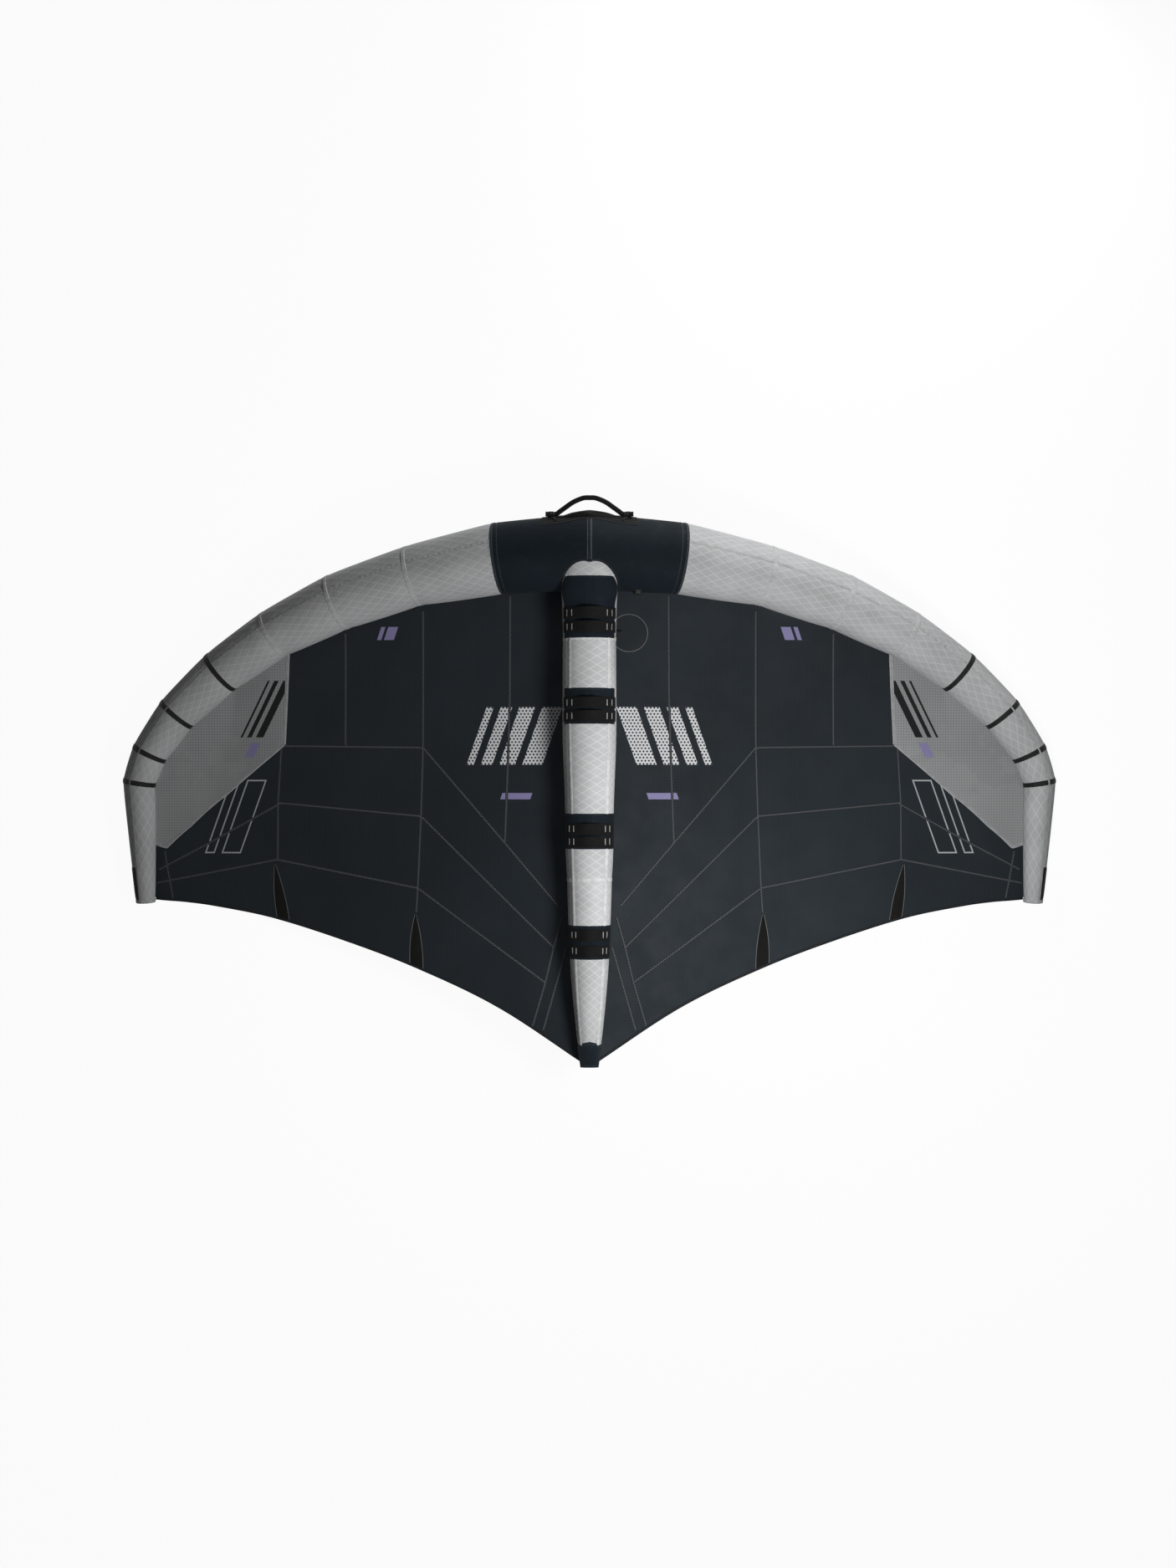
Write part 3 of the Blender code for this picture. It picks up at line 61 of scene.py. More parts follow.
# Leading edge tube, as in the CAD model: reach is sideways, sweep is towards the tail
TUBE_RADIUS = 0.1288
TUBE_REACH = 1.5911
TUBE_SWEEP = 1.2141
DIHEDRAL_RISE = 0.2006
JOINT_REACH_SHARES = (0.0, 0.1965, 0.3838, 0.5523, 0.6961, 0.8179, 0.9163, 0.9773, 1.0, 0.9881)
JOINT_SWEEP_SHARES = (0.0, 0.0165, 0.0619, 0.1338, 0.2225, 0.3305, 0.4525, 0.5667, 0.6516, 1.0)
JOINT_RADIUS_SHARES = (1.0, 0.956, 0.821, 0.776, 0.679, 0.623, 0.551, 0.485, 0.446, 0.259)
JOINT_RISE_SHARES = (1.0, 0.84, 0.652, 0.408, 0.2, 0.0, 0.0, 0.0, 0.0, 0.0)
TAPE_THICKNESS = 0.0010
TAPE_WIDTH = 0.018
TAPE_SPLIT = 0.007
PLAIN_TAPE_JOINT = 5
SPLIT_TAPE_JOINTS = (6, 7, 8)
BAND_JOINTS = (2, 3, 4)
BAND_WIDTH = 0.015
TUBE_STEP = 2 * math.pi / 20
SPLIT_ANGLE = 6.4 * TUBE_STEP
TAPE_STANDOFF = GAP + TAPE_THICKNESS
TIP_CUFF = 0.010
TIP_CAP_END = 0.004
TIP_PATCH_LENGTH = 0.115
LAST_SEGMENT = 8

# Strut, as in the CAD model
STRUT_LENGTH = 1.7679
STRUT_HALF_WIDTH = 0.0957
STRUT_HALF_HEIGHT = 0.0950
STRUT_TAIL_DROP = 0.0244
STRUT_STATION_SHARES = (0, 0.07, 0.108, 0.17, 0.335, 0.507, 0.575, 0.635, 0.722, 0.787, 0.953, 1)
STRUT_WIDTH_SHARES = (1, 1, 0.97, 0.953, 0.959, 0.865, 0.851, 0.806, 0.749, 0.699, 0.426, 0.317)
STRUT_HEIGHT_SHARES = (1, 1, 0.98, 0.96, 0.966, 0.871, 0.857, 0.812, 0.754, 0.704, 0.429, 0.105)
STRUT_ROUND_POWERS = (3.3, 3.3, 2, 2, 2, 2, 2, 2, 2, 2, 2, 2)
STRUT_STEP = 2 * math.pi / 24
NOSE_END_SHARE = 0.17
NOSE_CROWN = 0.006
NOSE_CROWN_ANGLE = math.radians(46)
CROSS_SEAM_SHARE = 0.635
TAIL_CAP_SHARE = 0.953
SADDLE_FLANGE = 0.008
TUBE_REARWARD = (0.0, -1.0, 0.3)
PAD_THICKNESS = 0.0020
PAD_EDGE_SHARES = ((0.052, 0.17), (0.266, 0.335), (0.507, 0.575), (0.722, 0.787))
PAD_WRAP_STEPS = (5, 5, 6, 6)
STRAP_PLACE_SHARES = ((0.593, 0.821), (0.407, 0.78), (0.43, 0.79), (0.275, 0.75))
STRAP_WIDTH = 0.038
STRAP_THICKNESS = 0.0018
STRAP_LIFT = 0.012
STRAP_TILT = 0.16
STRAP_END_ANGLE = 4.5 * STRUT_STEP
STRAP_FREE_ANGLE = 2.5 * STRUT_STEP

# Canopy, as in the CAD model
ATTACH_ANGLE = -2 * TUBE_STEP
HEM_WIDTH = 0.008
HEM_THICKNESS = 0.0020
HEM_END_SHARE = 0.9
TRAILING_REACH = 1.5440
TRAILING_SWEEP = 1.7540
TRAILING_ROOT_INSET = 0.008
TRAILING_REACH_SHARES = (0.0, 0.2, 0.387, 0.556, 0.719, 0.85, 0.921, 0.969, 1.0)
TRAILING_SWEEP_SHARES = (1.0, 0.896, 0.82, 0.766, 0.723, 0.701, 0.693, 0.69, 0.688)
CANOPY_CAMBER = 0.045
CAMBER_SHARES = (0.0, 0.7, 1.0, 0.95, 0.7, 0.35, 0.15, 0.08, 0.0)
CAMBER_POWER = 0.75
TIP_COLUMN = 8
GREY_COLUMN = 4
TIP_SEAM_SHARES = (0.353, 0.493, 0.579, 0.63, 0.527)

# Front handle, as in the CAD model
HANDLE_RADIUS = 0.0085
HANDLE_ELEVATION = math.radians(25.0)
HANDLE_RISE = 0.0585
HANDLE_FOOT_INNER = 0.115
HANDLE_FOOT_OUTER = 0.150
HANDLE_REACH_SHARES = (0.87, 0.7, 0.48, 0.2, 0.0)
HANDLE_RISE_SHARES = (0.17, 0.42, 0.73, 0.97, 1.0)
BASE_REACH = 0.155
BASE_SPREAD = 0.4
BASE_THICKNESS = 0.0020
BASE_CLEARANCE = 0.0007
KNUCKLE_REACH = 0.085
KNUCKLE_HEIGHT = 0.012
KEEPER_REACH = 0.1225
KEEPER_SLANT = 0.5
KEEPER_WIDTH = 0.012
KEEPER_THICKNESS = 0.0018

# The photograph: its size and the camera's focal length in its pixels
PHOTO_WIDTH = 1406
PHOTO_HEIGHT = 1875
FOCAL_PIXELS = 2900.0
CAMERA_PLACE = (-0.005, -0.0048, 8.632)
SENSOR_HEIGHT = 36.0
EDGE_HEIGHT = 0.2

# The lamps: a soft one overhead and one low in front, each with its place, width and power
LAMPS = (
    ("overhead", (0.88, -0.50, 2.25), 0.7, 42.0),
    ("front", (1.2, 3.03, 0.55), 0.6, 58.0),
)
LAMP_TARGET = (0.0, 0.0, 0.2)
FILL_STRENGTH = 0.062

# The floor: half its width, how much it glows where the camera sees it, and its tone in the light
FLOOR_HALF = 12.0
FLOOR_GLOW = 0.95
FLOOR_TONE = 0.14

BAND_ANGLES = np.linspace(ATTACH_ANGLE + TUBE_STEP * 0.4, ATTACH_ANGLE + TUBE_STEP * 19.6, 97)
SIDES = ((1, "right"), (-1, "left"))
UP = np.array((0.0, 0.0, 1.0))
AHEAD = np.array((0.0, 1.0, 0.0))
OUTBOARD = np.array((1.0, 0.0, 0.0))
MIRROR = np.array((-1.0, 1.0, 1.0))
FORWARD_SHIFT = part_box("le_center_panel")[1][1] - TUBE_RADIUS


def unit(vector):
    return vector / np.linalg.norm(vector, axis=-1, keepdims=True)


def smoothstep(value, low, high):
    part = np.clip((value - low) / (high - low), 0.0, 1.0)
    return part * part * (3 - 2 * part)


def lerp(low, high, share):
    return low + (high - low) * share


def uv(u, v):
    """UV places in metres, from the rows' and the columns' own."""
    return np.stack(np.broadcast_arrays(u, v), -1)


def mirrored(points, side):
    return points * MIRROR if side < 0 else points


def travelled(line):
    """The distance along a line to each of its points."""
    return np.concatenate([[0.0], np.cumsum(np.linalg.norm(np.diff(line, axis=0), axis=1))])


def ways(line):
    """The direction of a line at each of its points."""
    return unit(np.gradient(line, axis=0))


def shade(colour, share):
    return tuple(part * share for part in colour)


def grey(value):
    return (value, value, value)


def monotone(places, values, at):
    """Values between knots on a smooth line that never overshoots them."""
    places = np.asarray(places, float)
    values = np.asarray(values, float)
    gaps = np.diff(places)
    rises = np.diff(values) / gaps
    slopes = np.zeros(len(places))
    same = rises[:-1] * rises[1:] > 0
    weights = (gaps[1:] * 2 + gaps[:-1], gaps[1:] + gaps[:-1] * 2)
    with np.errstate(divide="ignore", invalid="ignore"):
        mean = (weights[0] + weights[1]) / (weights[0] / rises[:-1] + weights[1] / rises[1:])
    slopes[1:-1] = np.where(same, mean, 0.0)
    slopes[0], slopes[-1] = rises[0], rises[-1]
    at = np.clip(np.asarray(at, float), places[0], places[-1])
    k = np.clip(np.searchsorted(places, at, side="right") - 1, 0, len(gaps) - 1)
    width = gaps[k]
    t = (at - places[k]) / width
    low = (1 + 2 * t) * (1 - t) ** 2 * values[k] + t * (1 - t) ** 2 * width * slopes[k]
    high = t * t * (3 - 2 * t) * values[k + 1] + t * t * (t - 1) * width * slopes[k + 1]
    return low + high


def spline(before, near, far, after, t):
    """A smooth curve from near to far, aimed by the points before and after them."""
    return 0.5 * (2 * near + (far - before) * t + (2 * before - 5 * near + 4 * far - after) * t**2
                  + (3 * near - before - 3 * far + after) * t**3)


class Tube:
    """The leading edge tube on the +X side."""

    def __init__(self):
        joints = range(len(JOINT_REACH_SHARES))
        self.radius = TUBE_RADIUS * np.array(JOINT_RADIUS_SHARES)
        self.centre = self.centres(self.radius + TAPE_STANDOFF)
        self.normal = np.array([self.mitre_normal(j) for j in joints])
        self.up = unit(UP - (self.normal @ UP)[:, None] * self.normal)
        self.rear = np.cross(self.normal, self.up)
        self.centre = self.centres((self.radius + TAPE_STANDOFF) * self.up[:, 2])
        self.length = np.linalg.norm(np.diff(self.centre, axis=0), axis=1)

    def centres(self, heights):
        reach = TUBE_REACH * np.array(JOINT_REACH_SHARES)
        sweep = FORWARD_SHIFT - TUBE_SWEEP * np.array(JOINT_SWEEP_SHARES)
        return np.stack([reach, sweep, DIHEDRAL_RISE * np.array(JOINT_RISE_SHARES) + heights], 1)

    def along(self, j):
        return unit(self.centre[j + 1] - self.centre[j])

    def mitre_normal(self, j):
        if j == 0:
            return OUTBOARD
        if j == len(JOINT_REACH_SHARES) - 1:
            return self.along(j - 1)
        return unit(self.along(j - 1) + self.along(j))

    def points(self, j, shares, angles, offset=0.0):
        """Points on segment j, one row for each share and one column for each angle."""
        shares = np.atleast_1d(np.asarray(shares, float))
        angles = np.atleast_1d(np.asarray(angles, float))
        offset = np.broadcast_to(offset, (len(shares), len(angles)))[..., None]
        ends = []
        for k in (j, j + 1):
            spoke = np.cos(angles)[:, None] * self.rear[k] + np.sin(angles)[:, None] * self.up[k]
            ends.append(self.centre[k] + (self.radius[k] + offset) * spoke)
        return lerp(ends[0], ends[1], shares[:, None, None])

    def point(self, j, share, angle, offset=0.0):
        return self.points(j, share, angle, offset)[0, 0]

    def share_of(self, j, length):
        return length / self.length[j]


class Strut:
    """The strut's sections: squarish at the nose, round behind it, flat at the tail."""

    def __init__(self, tube):
        self.front = tube.centre[0][1]
        self.base = 0.0
        root = tube.point(0, 0.0, ATTACH_ANGLE, GAP + CANOPY_THICKNESS / 2)
        self.root_y = root[1]
        self.base = root[2] + CANOPY_THICKNESS / 2 + GAP - self.underside(root[1])

    def place(self, share):
        return self.front - STRUT_LENGTH * share

    def share(self, y):
        return np.clip((self.front - np.asarray(y, float)) / STRUT_LENGTH, 0.0, 1.0)

    def axis(self, y):
        drop = np.interp(self.share(y), (TAIL_CAP_SHARE, 1.0), (0, 1))
        return self.base - STRUT_TAIL_DROP * drop

    def reach(self, y, angle):
        """The skin's distance from the axis in a direction counted from the top."""
        y, angle = np.broadcast_arrays(np.asarray(y, float), np.asarray(angle, float))
        share = self.share(y)
        widths = monotone(STRUT_STATION_SHARES, STRUT_WIDTH_SHARES, share) * STRUT_HALF_WIDTH
        heights = monotone(STRUT_STATION_SHARES, STRUT_HEIGHT_SHARES, share) * STRUT_HALF_HEIGHT
        power = monotone(STRUT_STATION_SHARES, STRUT_ROUND_POWERS, share)
        sideways = np.abs(np.sin(angle)) / widths
        upwards = np.abs(np.cos(angle)) / heights
        return (sideways**power + upwards**power) ** (-1 / power)

    def crown(self, y, angle):
        """The nose's top swells in its middle, where the leading edge is highest."""
        middle = np.cos(np.clip(angle / NOSE_CROWN_ANGLE, -1, 1) * math.pi / 2) ** 2
        return NOSE_CROWN * middle * (1 - smoothstep(self.share(y), 0.06, 0.17))

    def points(self, y, angle, offset=0.0):
        y, angle, offset = np.broadcast_arrays(y, angle, offset)
        radius = self.reach(y, angle) + offset + self.crown(y, angle)
        height = self.axis(y) + radius * np.cos(angle)
        return np.stack([radius * np.sin(angle), y.astype(float), height], -1)

    def underside(self, y):
        return self.points(y, math.pi)[..., 2]


class Canopy:
    """The canopy's upper face as a smooth sheet over both sides, from the tube to the hem."""

    def __init__(self, tube, strut):
        skin = GAP + CANOPY_THICKNESS / 2
        lift = UP * CANOPY_THICKNESS / 2
        columns = range(TIP_COLUMN + 1)
        self.strut = strut
        self.front = np.array([tube.point(j, 0.0, ATTACH_ANGLE, skin) for j in columns]) + lift
        clear = tube.share_of(TIP_COLUMN, TIP_CUFF + TIP_CAP_END)
        tip = tube.point(TIP_COLUMN, 1 - clear, ATTACH_ANGLE, skin) + lift
        root_y = strut.place(1.0) + TRAILING_ROOT_INSET
        root = np.array((0.0, root_y, strut.underside(root_y) - GAP))
        reach = TRAILING_REACH * np.array(TRAILING_REACH_SHARES)
        sweep = TRAILING_SWEEP * np.array(TRAILING_SWEEP_SHARES) - HEM_WIDTH - GAP
        height = lerp(root[2], tip[2], np.array(TRAILING_REACH_SHARES))
        self.rear = np.stack([reach, FORWARD_SHIFT - sweep, height], 1)
        self.rear[0], self.rear[-1] = root, tip

    def columns(self, shares):
        """Points of the nine columns at shares of their length, front to rear."""
        shares = np.asarray(shares, float)
        points = lerp(self.front[:, None], self.rear[:, None], shares[..., None])
        belly = CANOPY_CAMBER * np.array(CAMBER_SHARES)[:, None]
        points[..., 2] -= belly * np.sin(math.pi * np.clip(shares, 0, 1) ** CAMBER_POWER)
        points[0, :, 2] = self.strut.underside(points[0, :, 1]) - GAP
        return points

    def grid(self, shares, places):
        """Points at column places from -8 to 8; shares has a row of places for each line."""
        shares = np.broadcast_to(shares, (shares.shape[0], len(places)))
        distance = np.abs(places)
        low = np.clip(np.floor(distance).astype(int), 0, TIP_COLUMN - 1)
        part = (distance - low)[None, :, None]
        knots = []
        for step in (-1, 0, 1, 2):
            column = np.clip(low + step, 0, TIP_COLUMN)
            knots.append(np.stack([self.columns(shares[:, c])[k] for c, k in enumerate(column)], 1))
        before, near, far, after = knots
        before = np.where((low == 0)[:, None], 2 * near - far, before)
        after = np.where((low == TIP_COLUMN - 1)[:, None], 2 * far - near, after)
        curve = spline(before, near, far, after, part)
        mixed = lerp(lerp(near, far, part), curve, smoothstep(shares, 0.0, 0.3)[..., None])
        mixed[..., 0] *= np.where(places < 0, -1.0, 1.0)
        return mixed


class Shape:
    """Collects grids of points with their UV places, in metres, into one mesh."""

    def __init__(self):
        self.points = []
        self.faces = []
        self.places = []
        self.count = 0

    def add(self, points, faces, places):
        self.points.append(np.asarray(points, float).reshape(-1, 3))
        self.faces += [tuple(corner + self.count for corner in face) for face in faces]
        self.places += places
        self.count += len(self.points[-1])

    def grid(self, points, places, wrap=False, flip=False):
        """Adds a grid of faces. places has one column more than points where the grid wraps."""
        rows, columns = points.shape[:2]
        across = columns if wrap else columns - 1
        r, c = (x.ravel() for x in np.meshgrid(range(rows - 1), range(across), indexing="ij"))
        d = (c + 1) % columns
        faces = np.stack([r * columns + c, r * columns + d, (r + 1) * columns + d,
                          (r + 1) * columns + c], 1)
        corners = np.stack([places[r, c], places[r, c + 1], places[r + 1, c + 1],
                            places[r + 1, c]], 1)
        if flip:
            faces, corners = faces[:, ::-1], corners[:, ::-1]
        self.add(points, faces.tolist(), corners.tolist())

    def hose(self, rings, far, angles, radius, flip=False):
        """Adds a tube of rings, each far along it, that closes after its last angle."""
        closed = np.append(angles, angles[0] + 2 * math.pi)
        places = uv(np.reshape(far, (len(rings), -1)), (closed * radius)[None, :])
        self.grid(rings, places, wrap=True, flip=flip)

    def pillow(self, top, bottom, places, flip=False):
        """Adds a closed cushion: a top and a bottom that share their rim."""
        rows, columns = top.shape[:2]
        over = np.arange(rows * columns).reshape(rows, columns)
        under = over.copy()
        under[1:-1, 1:-1] = rows * columns + np.arange((rows - 2) * (columns - 2)).reshape(
            rows - 2, columns - 2)
        faces, corners = [], []
        for index, back in ((over, flip), (under, not flip)):
            for found, grid in ((faces, index), (corners, places)):
                cell = np.stack([grid[:-1, :-1], grid[:-1, 1:], grid[1:, 1:], grid[1:, :-1]], 2)
                cell = cell[:, :, ::-1] if back else cell
                found += cell.reshape(-1, *cell.shape[2:]).tolist()
        points = np.concatenate([top.reshape(-1, 3), bottom[1:-1, 1:-1].reshape(-1, 3)])
        self.add(points, faces, corners)

    def lid(self, ring, flip=False):
        """Closes a ring of points with a fan round its middle."""
        count = len(ring)
        middle = ring.mean(0)
        radius = np.linalg.norm(ring[0] - middle)
        faces, places = [], []
        for c in range(count):
            face = [c, (c + 1) % count, count]
            turns = (2 * math.pi * c / count, 2 * math.pi * (c + 1) / count)
            place = [(radius * math.cos(a), radius * math.sin(a)) for a in turns] + [(0.0, 0.0)]
            faces.append(face[::-1] if flip else face)
            places.append(place[::-1] if flip else place)
        self.add(np.vstack([ring, middle]), faces, places)

    def mesh(self, name, weld=0.0):
        mesh = bpy.data.meshes.new(name)
        mesh.from_pydata(np.vstack(self.points).tolist(), [], self.faces)
        layer = mesh.uv_layers.new(name="cloth")
        flat = np.array([place for face in self.places for place in face], np.float32)
        layer.uv.foreach_set("vector", flat.ravel())
        if weld:
            work = bmesh.new()
            work.from_mesh(mesh)
            bmesh.ops.remove_doubles(work, verts=work.verts, dist=weld)
            work.to_mesh(mesh)
            work.free()
        mesh.shade_smooth()
        mesh.set_sharp_from_angle(angle=math.radians(50))
        return mesh

    def tree(self):
        return BVHTree.FromPolygons(np.vstack(self.points).tolist(), self.faces)


def link(name, data):
    """Puts a new object with the given data in the scene."""
    thing = bpy.data.objects.new(name, data)
    bpy.context.scene.collection.objects.link(thing)
    return thing


def piece(name, shape, paint, replaced=(), body="airframe", weld=0.0):
    """Makes a piece from a shape, on a CAD body, in place of the CAD nodes that it stands for."""
    thing = link(name, shape.mesh(name, weld))
    thing.data.materials.append(paint)
    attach(thing, body)
    if replaced:
        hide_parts(*replaced)
    return thing


def swell(thing, held, cap, spare):
    """Fills a pad by cloth simulation. The held points stay, and no other moves past its cap."""
    scene = bpy.context.scene
    start = np.array([vertex.co for vertex in thing.data.vertices])
    group = thing.vertex_groups.new(name="held")
    group.add([int(k) for k in np.flatnonzero(held)], 1.0, "REPLACE")
    cloth = thing.modifiers.new("cloth", "CLOTH")
    settings = cloth.settings
    settings.quality = 6
    settings.mass = 0.3
    settings.tension_stiffness = 15.0
    settings.compression_stiffness = 15.0
    settings.shear_stiffness = 5.0
    settings.bending_stiffness = 0.5
    settings.vertex_group_mass = "held"
    settings.use_pressure = True
    settings.uniform_pressure_force = SWELL_PRESSURE
    settings.shrink_min = -spare
    settings.effector_weights.gravity = 0.0
    for number in range(1, SWELL_FRAMES + 1):
        scene.frame_set(number)
    shown = thing.evaluated_get(bpy.context.evaluated_depsgraph_get())
    moved = np.array([vertex.co for vertex in shown.data.vertices]) - start
    thing.modifiers.remove(cloth)
    thing.vertex_groups.remove(group)
    far = np.linalg.norm(moved, axis=1)
    moved = moved * (cap * np.tanh(far / cap) / np.maximum(far, 1e-9))[:, None]
    thing.data.vertices.foreach_set("co", (start + moved).astype(np.float32).ravel())
    thing.data.update()
    scene.frame_set(1)


def sweep(shape, line, across, out, section, flip=False):
    """Adds a closed section swept along a line; across and out are the section's own directions."""
    line, across, out = (np.asarray(x, float) for x in (line, across, out))
    across, out = (np.broadcast_to(x, line.shape) for x in (across, out))
    section = np.asarray(section, float)
    aside = across[:, None] * section[None, :, :1]
    points = line[:, None] + aside + out[:, None] * section[None, :, 1:]
    round_it = travelled(np.vstack([section, section[:1]])) + section[0, 0]
    shape.grid(points, uv(round_it[None, :], travelled(line)[:, None]), wrap=True, flip=flip)
    shape.lid(points[0], flip=not flip)
    shape.lid(points[-1], flip=flip)


def strap_section(width, thickness, edge=4):
    """The rounded outline of flat webbing, starting at the left edge of its upper face."""
    half = width / 2 - thickness / 2
    right = [(half + thickness / 2 * math.sin(a), thickness / 2 * (1 + math.cos(a)))
             for a in np.linspace(0, math.pi, edge + 1)]
    left = [(-x, thickness - z) for x, z in right]
    inner = [(x, thickness) for x in np.linspace(-half, half, 6)[:-1]]
    return [*inner, *right, *left[:-1]]


def ribbon(shape, line, tree, width, height, over=(0.0, 0.0, 1.0)):
    """Adds a thin band that lies on a surface along a line of points."""
    line = np.asarray(line, float)
    over = Vector(over)
    profile = ((-0.5, 0.05), (-0.42, 0.85), (-0.15, 1.0), (0.15, 1.0), (0.42, 0.85), (0.5, 0.05))

    def nearest(point):
        """The surface's nearest place, and its normal on the side that shows."""
        spot, normal, _, _ = tree.find_nearest(Vector(point))
        return np.array(spot), np.array(normal if normal.dot(over) > 0 else -normal)

    rows = []
    for point, way in zip(line, ways(line)):
        side = unit(np.cross(way, nearest(point)[1]))
        row = []
        for sideways, rise in profile:
            spot, facing = nearest(point + side * sideways * width)
            row.append(spot + facing * height * rise)
        rows.append(row)
    across = np.array([sideways * width for sideways, _ in profile])
    shape.grid(np.array(rows), uv(across[None, :], travelled(line)[:, None]), flip=True)


def resample(points, spacing):
    points = np.asarray(points, float)
    far = travelled(points)
    at = np.linspace(0.0, far[-1], max(3, int(far[-1] / spacing) + 1))
    return np.stack([np.interp(at, far, points[:, k]) for k in range(points.shape[1])], -1)


def photo_ray(x, y):
    """The direction from the camera through a pixel of the photograph."""
    away = ((x - PHOTO_WIDTH / 2) / FOCAL_PIXELS, (PHOTO_HEIGHT / 2 - y) / FOCAL_PIXELS, -1.0)
    return Vector(away).normalized()


def seen(tree, x, y):
    """The place on a surface that a pixel of the photograph shows, or the nearest one to it."""
    eye, way = Vector(CAMERA_PLACE), photo_ray(x, y)
    spot = tree.ray_cast(eye, way)[0]
    if spot is None:
        spot = tree.find_nearest(eye + way * ((EDGE_HEIGHT - eye.z) / way.z))[0]
    return np.array(spot)


def dropped(tree, line):
    """A line of points brought straight down to a surface."""
    found = []
    for point in line:
        spot = tree.ray_cast(Vector((point[0], point[1], 2.0)), Vector((0, 0, -1)))[0]
        if spot is None:
            spot = tree.find_nearest(Vector(point))[0]
        found.append(np.array(spot))
    return np.array(found)


def feed(links, socket, value):
    """Gives a socket a link, or else a value of its own."""
    if isinstance(value, bpy.types.NodeSocket):
        links.new(value, socket)
    else:
        socket.default_value = value


class Paint:
    """One procedural material, with short names for the nodes that it needs."""

    def __init__(self, name, roughness, sheen=0.0, coat=0.0, specular=0.5):
        self.material = bpy.data.materials.new(name)
        self.material.use_nodes = True
        self.nodes, self.links = self.material.node_tree.nodes, self.material.node_tree.links
        self.shader = self.nodes["Principled BSDF"].inputs
        for socket, value in (("Roughness", roughness), ("Sheen Weight", sheen),
                              ("Coat Weight", coat), ("Specular IOR Level", specular)):
            self.shader[socket].default_value = value
        cloth = self.nodes.new("ShaderNodeUVMap")
        cloth.uv_map = "cloth"
        self.place = self.nodes.new("ShaderNodeTexCoord").outputs["Object"]
        self.u, self.v, _ = self.split(cloth.outputs[0])
        self.x, self.y, _ = self.split(self.place)

    def split(self, vector):
        node = self.nodes.new("ShaderNodeSeparateXYZ")
        self.links.new(vector, node.inputs[0])
        return node.outputs

    def feed(self, socket, value):
        feed(self.links, socket, value)

    def math(self, operation, a, b=0.0, c=0.0):
        node = self.nodes.new("ShaderNodeMath")
        node.operation = operation
        for socket, value in zip(node.inputs, (a, b, c)):
            self.feed(socket, value)
        return node.outputs[0]

    def add(self, a, b):
        return self.math("ADD", a, b)

    def times(self, a, b):
        return self.math("MULTIPLY", a, b)

    def wave(self, value, pitch):
        return self.math("SINE", self.times(value, 2 * math.pi / pitch))

    def total(self, *parts):
        """The sum of values, each times its weight."""
        found = self.times(*parts[0])
        for part in parts[1:]:
            found = self.add(found, self.times(*part))
        return found

    def most(self, *values):
        found = values[0]
        for value in values[1:]:
            found = self.math("MAXIMUM", found, value)
        return found

    def fade(self, value, low, high, start=0.0, end=1.0):
        """Start at low and end at high, with a soft step between."""
        node = self.nodes.new("ShaderNodeMapRange")
        node.interpolation_type = "SMOOTHSTEP"
        for socket, number in zip(node.inputs, (value, low, high, start, end)):
            self.feed(socket, number)
        return node.outputs[0]

    def lines(self, value, pitch, width):
        """One on lines at every pitch, nothing between."""
        away = self.math("PINGPONG", value, pitch / 2)
        return self.fade(away, width * 0.3, width * 0.7, 1.0, 0.0)

    def between(self, value, low, high, soft):
        up = self.fade(value, low - soft, low + soft)
        down = self.fade(value, high - soft, high + soft, 1.0, 0.0)
        return self.times(up, down)

    def noise(self, scale, detail=3.0, rough=0.5):
        node = self.nodes.new("ShaderNodeTexNoise")
        for socket, value in (("Scale", scale), ("Detail", detail), ("Roughness", rough),
                              ("Vector", self.place)):
            self.feed(node.inputs[socket], value)
        return node.outputs[0]

    def mix(self, share, a, b):
        node = self.nodes.new("ShaderNodeMix")
        node.data_type = "RGBA"
        self.feed(node.inputs[0], share)
        for socket, value in zip((node.inputs[6], node.inputs[7]), (a, b)):
            self.feed(socket, (*value, 1.0) if isinstance(value, tuple) else value)
        return node.outputs[2]

    def tint(self, tone, mask, share, ink):
        return self.mix(self.times(mask, share), tone, ink)

    def mottle(self, value, low, high, colour, dark, light):
        """The colour from darker to lighter as a value rises."""
        return self.mix(self.fade(value, low, high), shade(colour, dark), shade(colour, light))

    def stitches(self, rows, thread=0.0013, pitch=0.0045, swing=0.0):
        """Rows of stitches along v at the places of u given, swinging for a zigzag."""
        found = []
        for row in rows:
            away = self.math("SUBTRACT", self.u, row)
            if swing:
                wave = self.math("PINGPONG", self.v, pitch)
                shift = self.times(self.math("SUBTRACT", wave, pitch / 2), 2 * swing / pitch)
                away = self.math("SUBTRACT", away, shift)
            near = self.math("ABSOLUTE", away)
            found.append(self.fade(near, thread * 0.35, thread * 0.65, 1.0, 0.0))
        if swing:
            return self.most(*found)
        dash = self.fade(self.math("PINGPONG", self.v, pitch / 2), pitch * 0.1, pitch * 0.16)
        return self.times(self.most(*found), dash)

    def finish(self, colour, height, strength=1.0, rough=None):
        """Links the colour, the bump in metres and, where it varies, the roughness."""
        self.links.new(colour, self.shader["Base Color"])
        if rough is not None:
            self.links.new(rough, self.shader["Roughness"])
        bump = self.nodes.new("ShaderNodeBump")
        bump.inputs["Distance"].default_value = 1.0
        bump.inputs["Strength"].default_value = strength
        self.links.new(height, bump.inputs["Height"])
        self.links.new(bump.outputs[0], self.shader["Normal"])
        return self.material


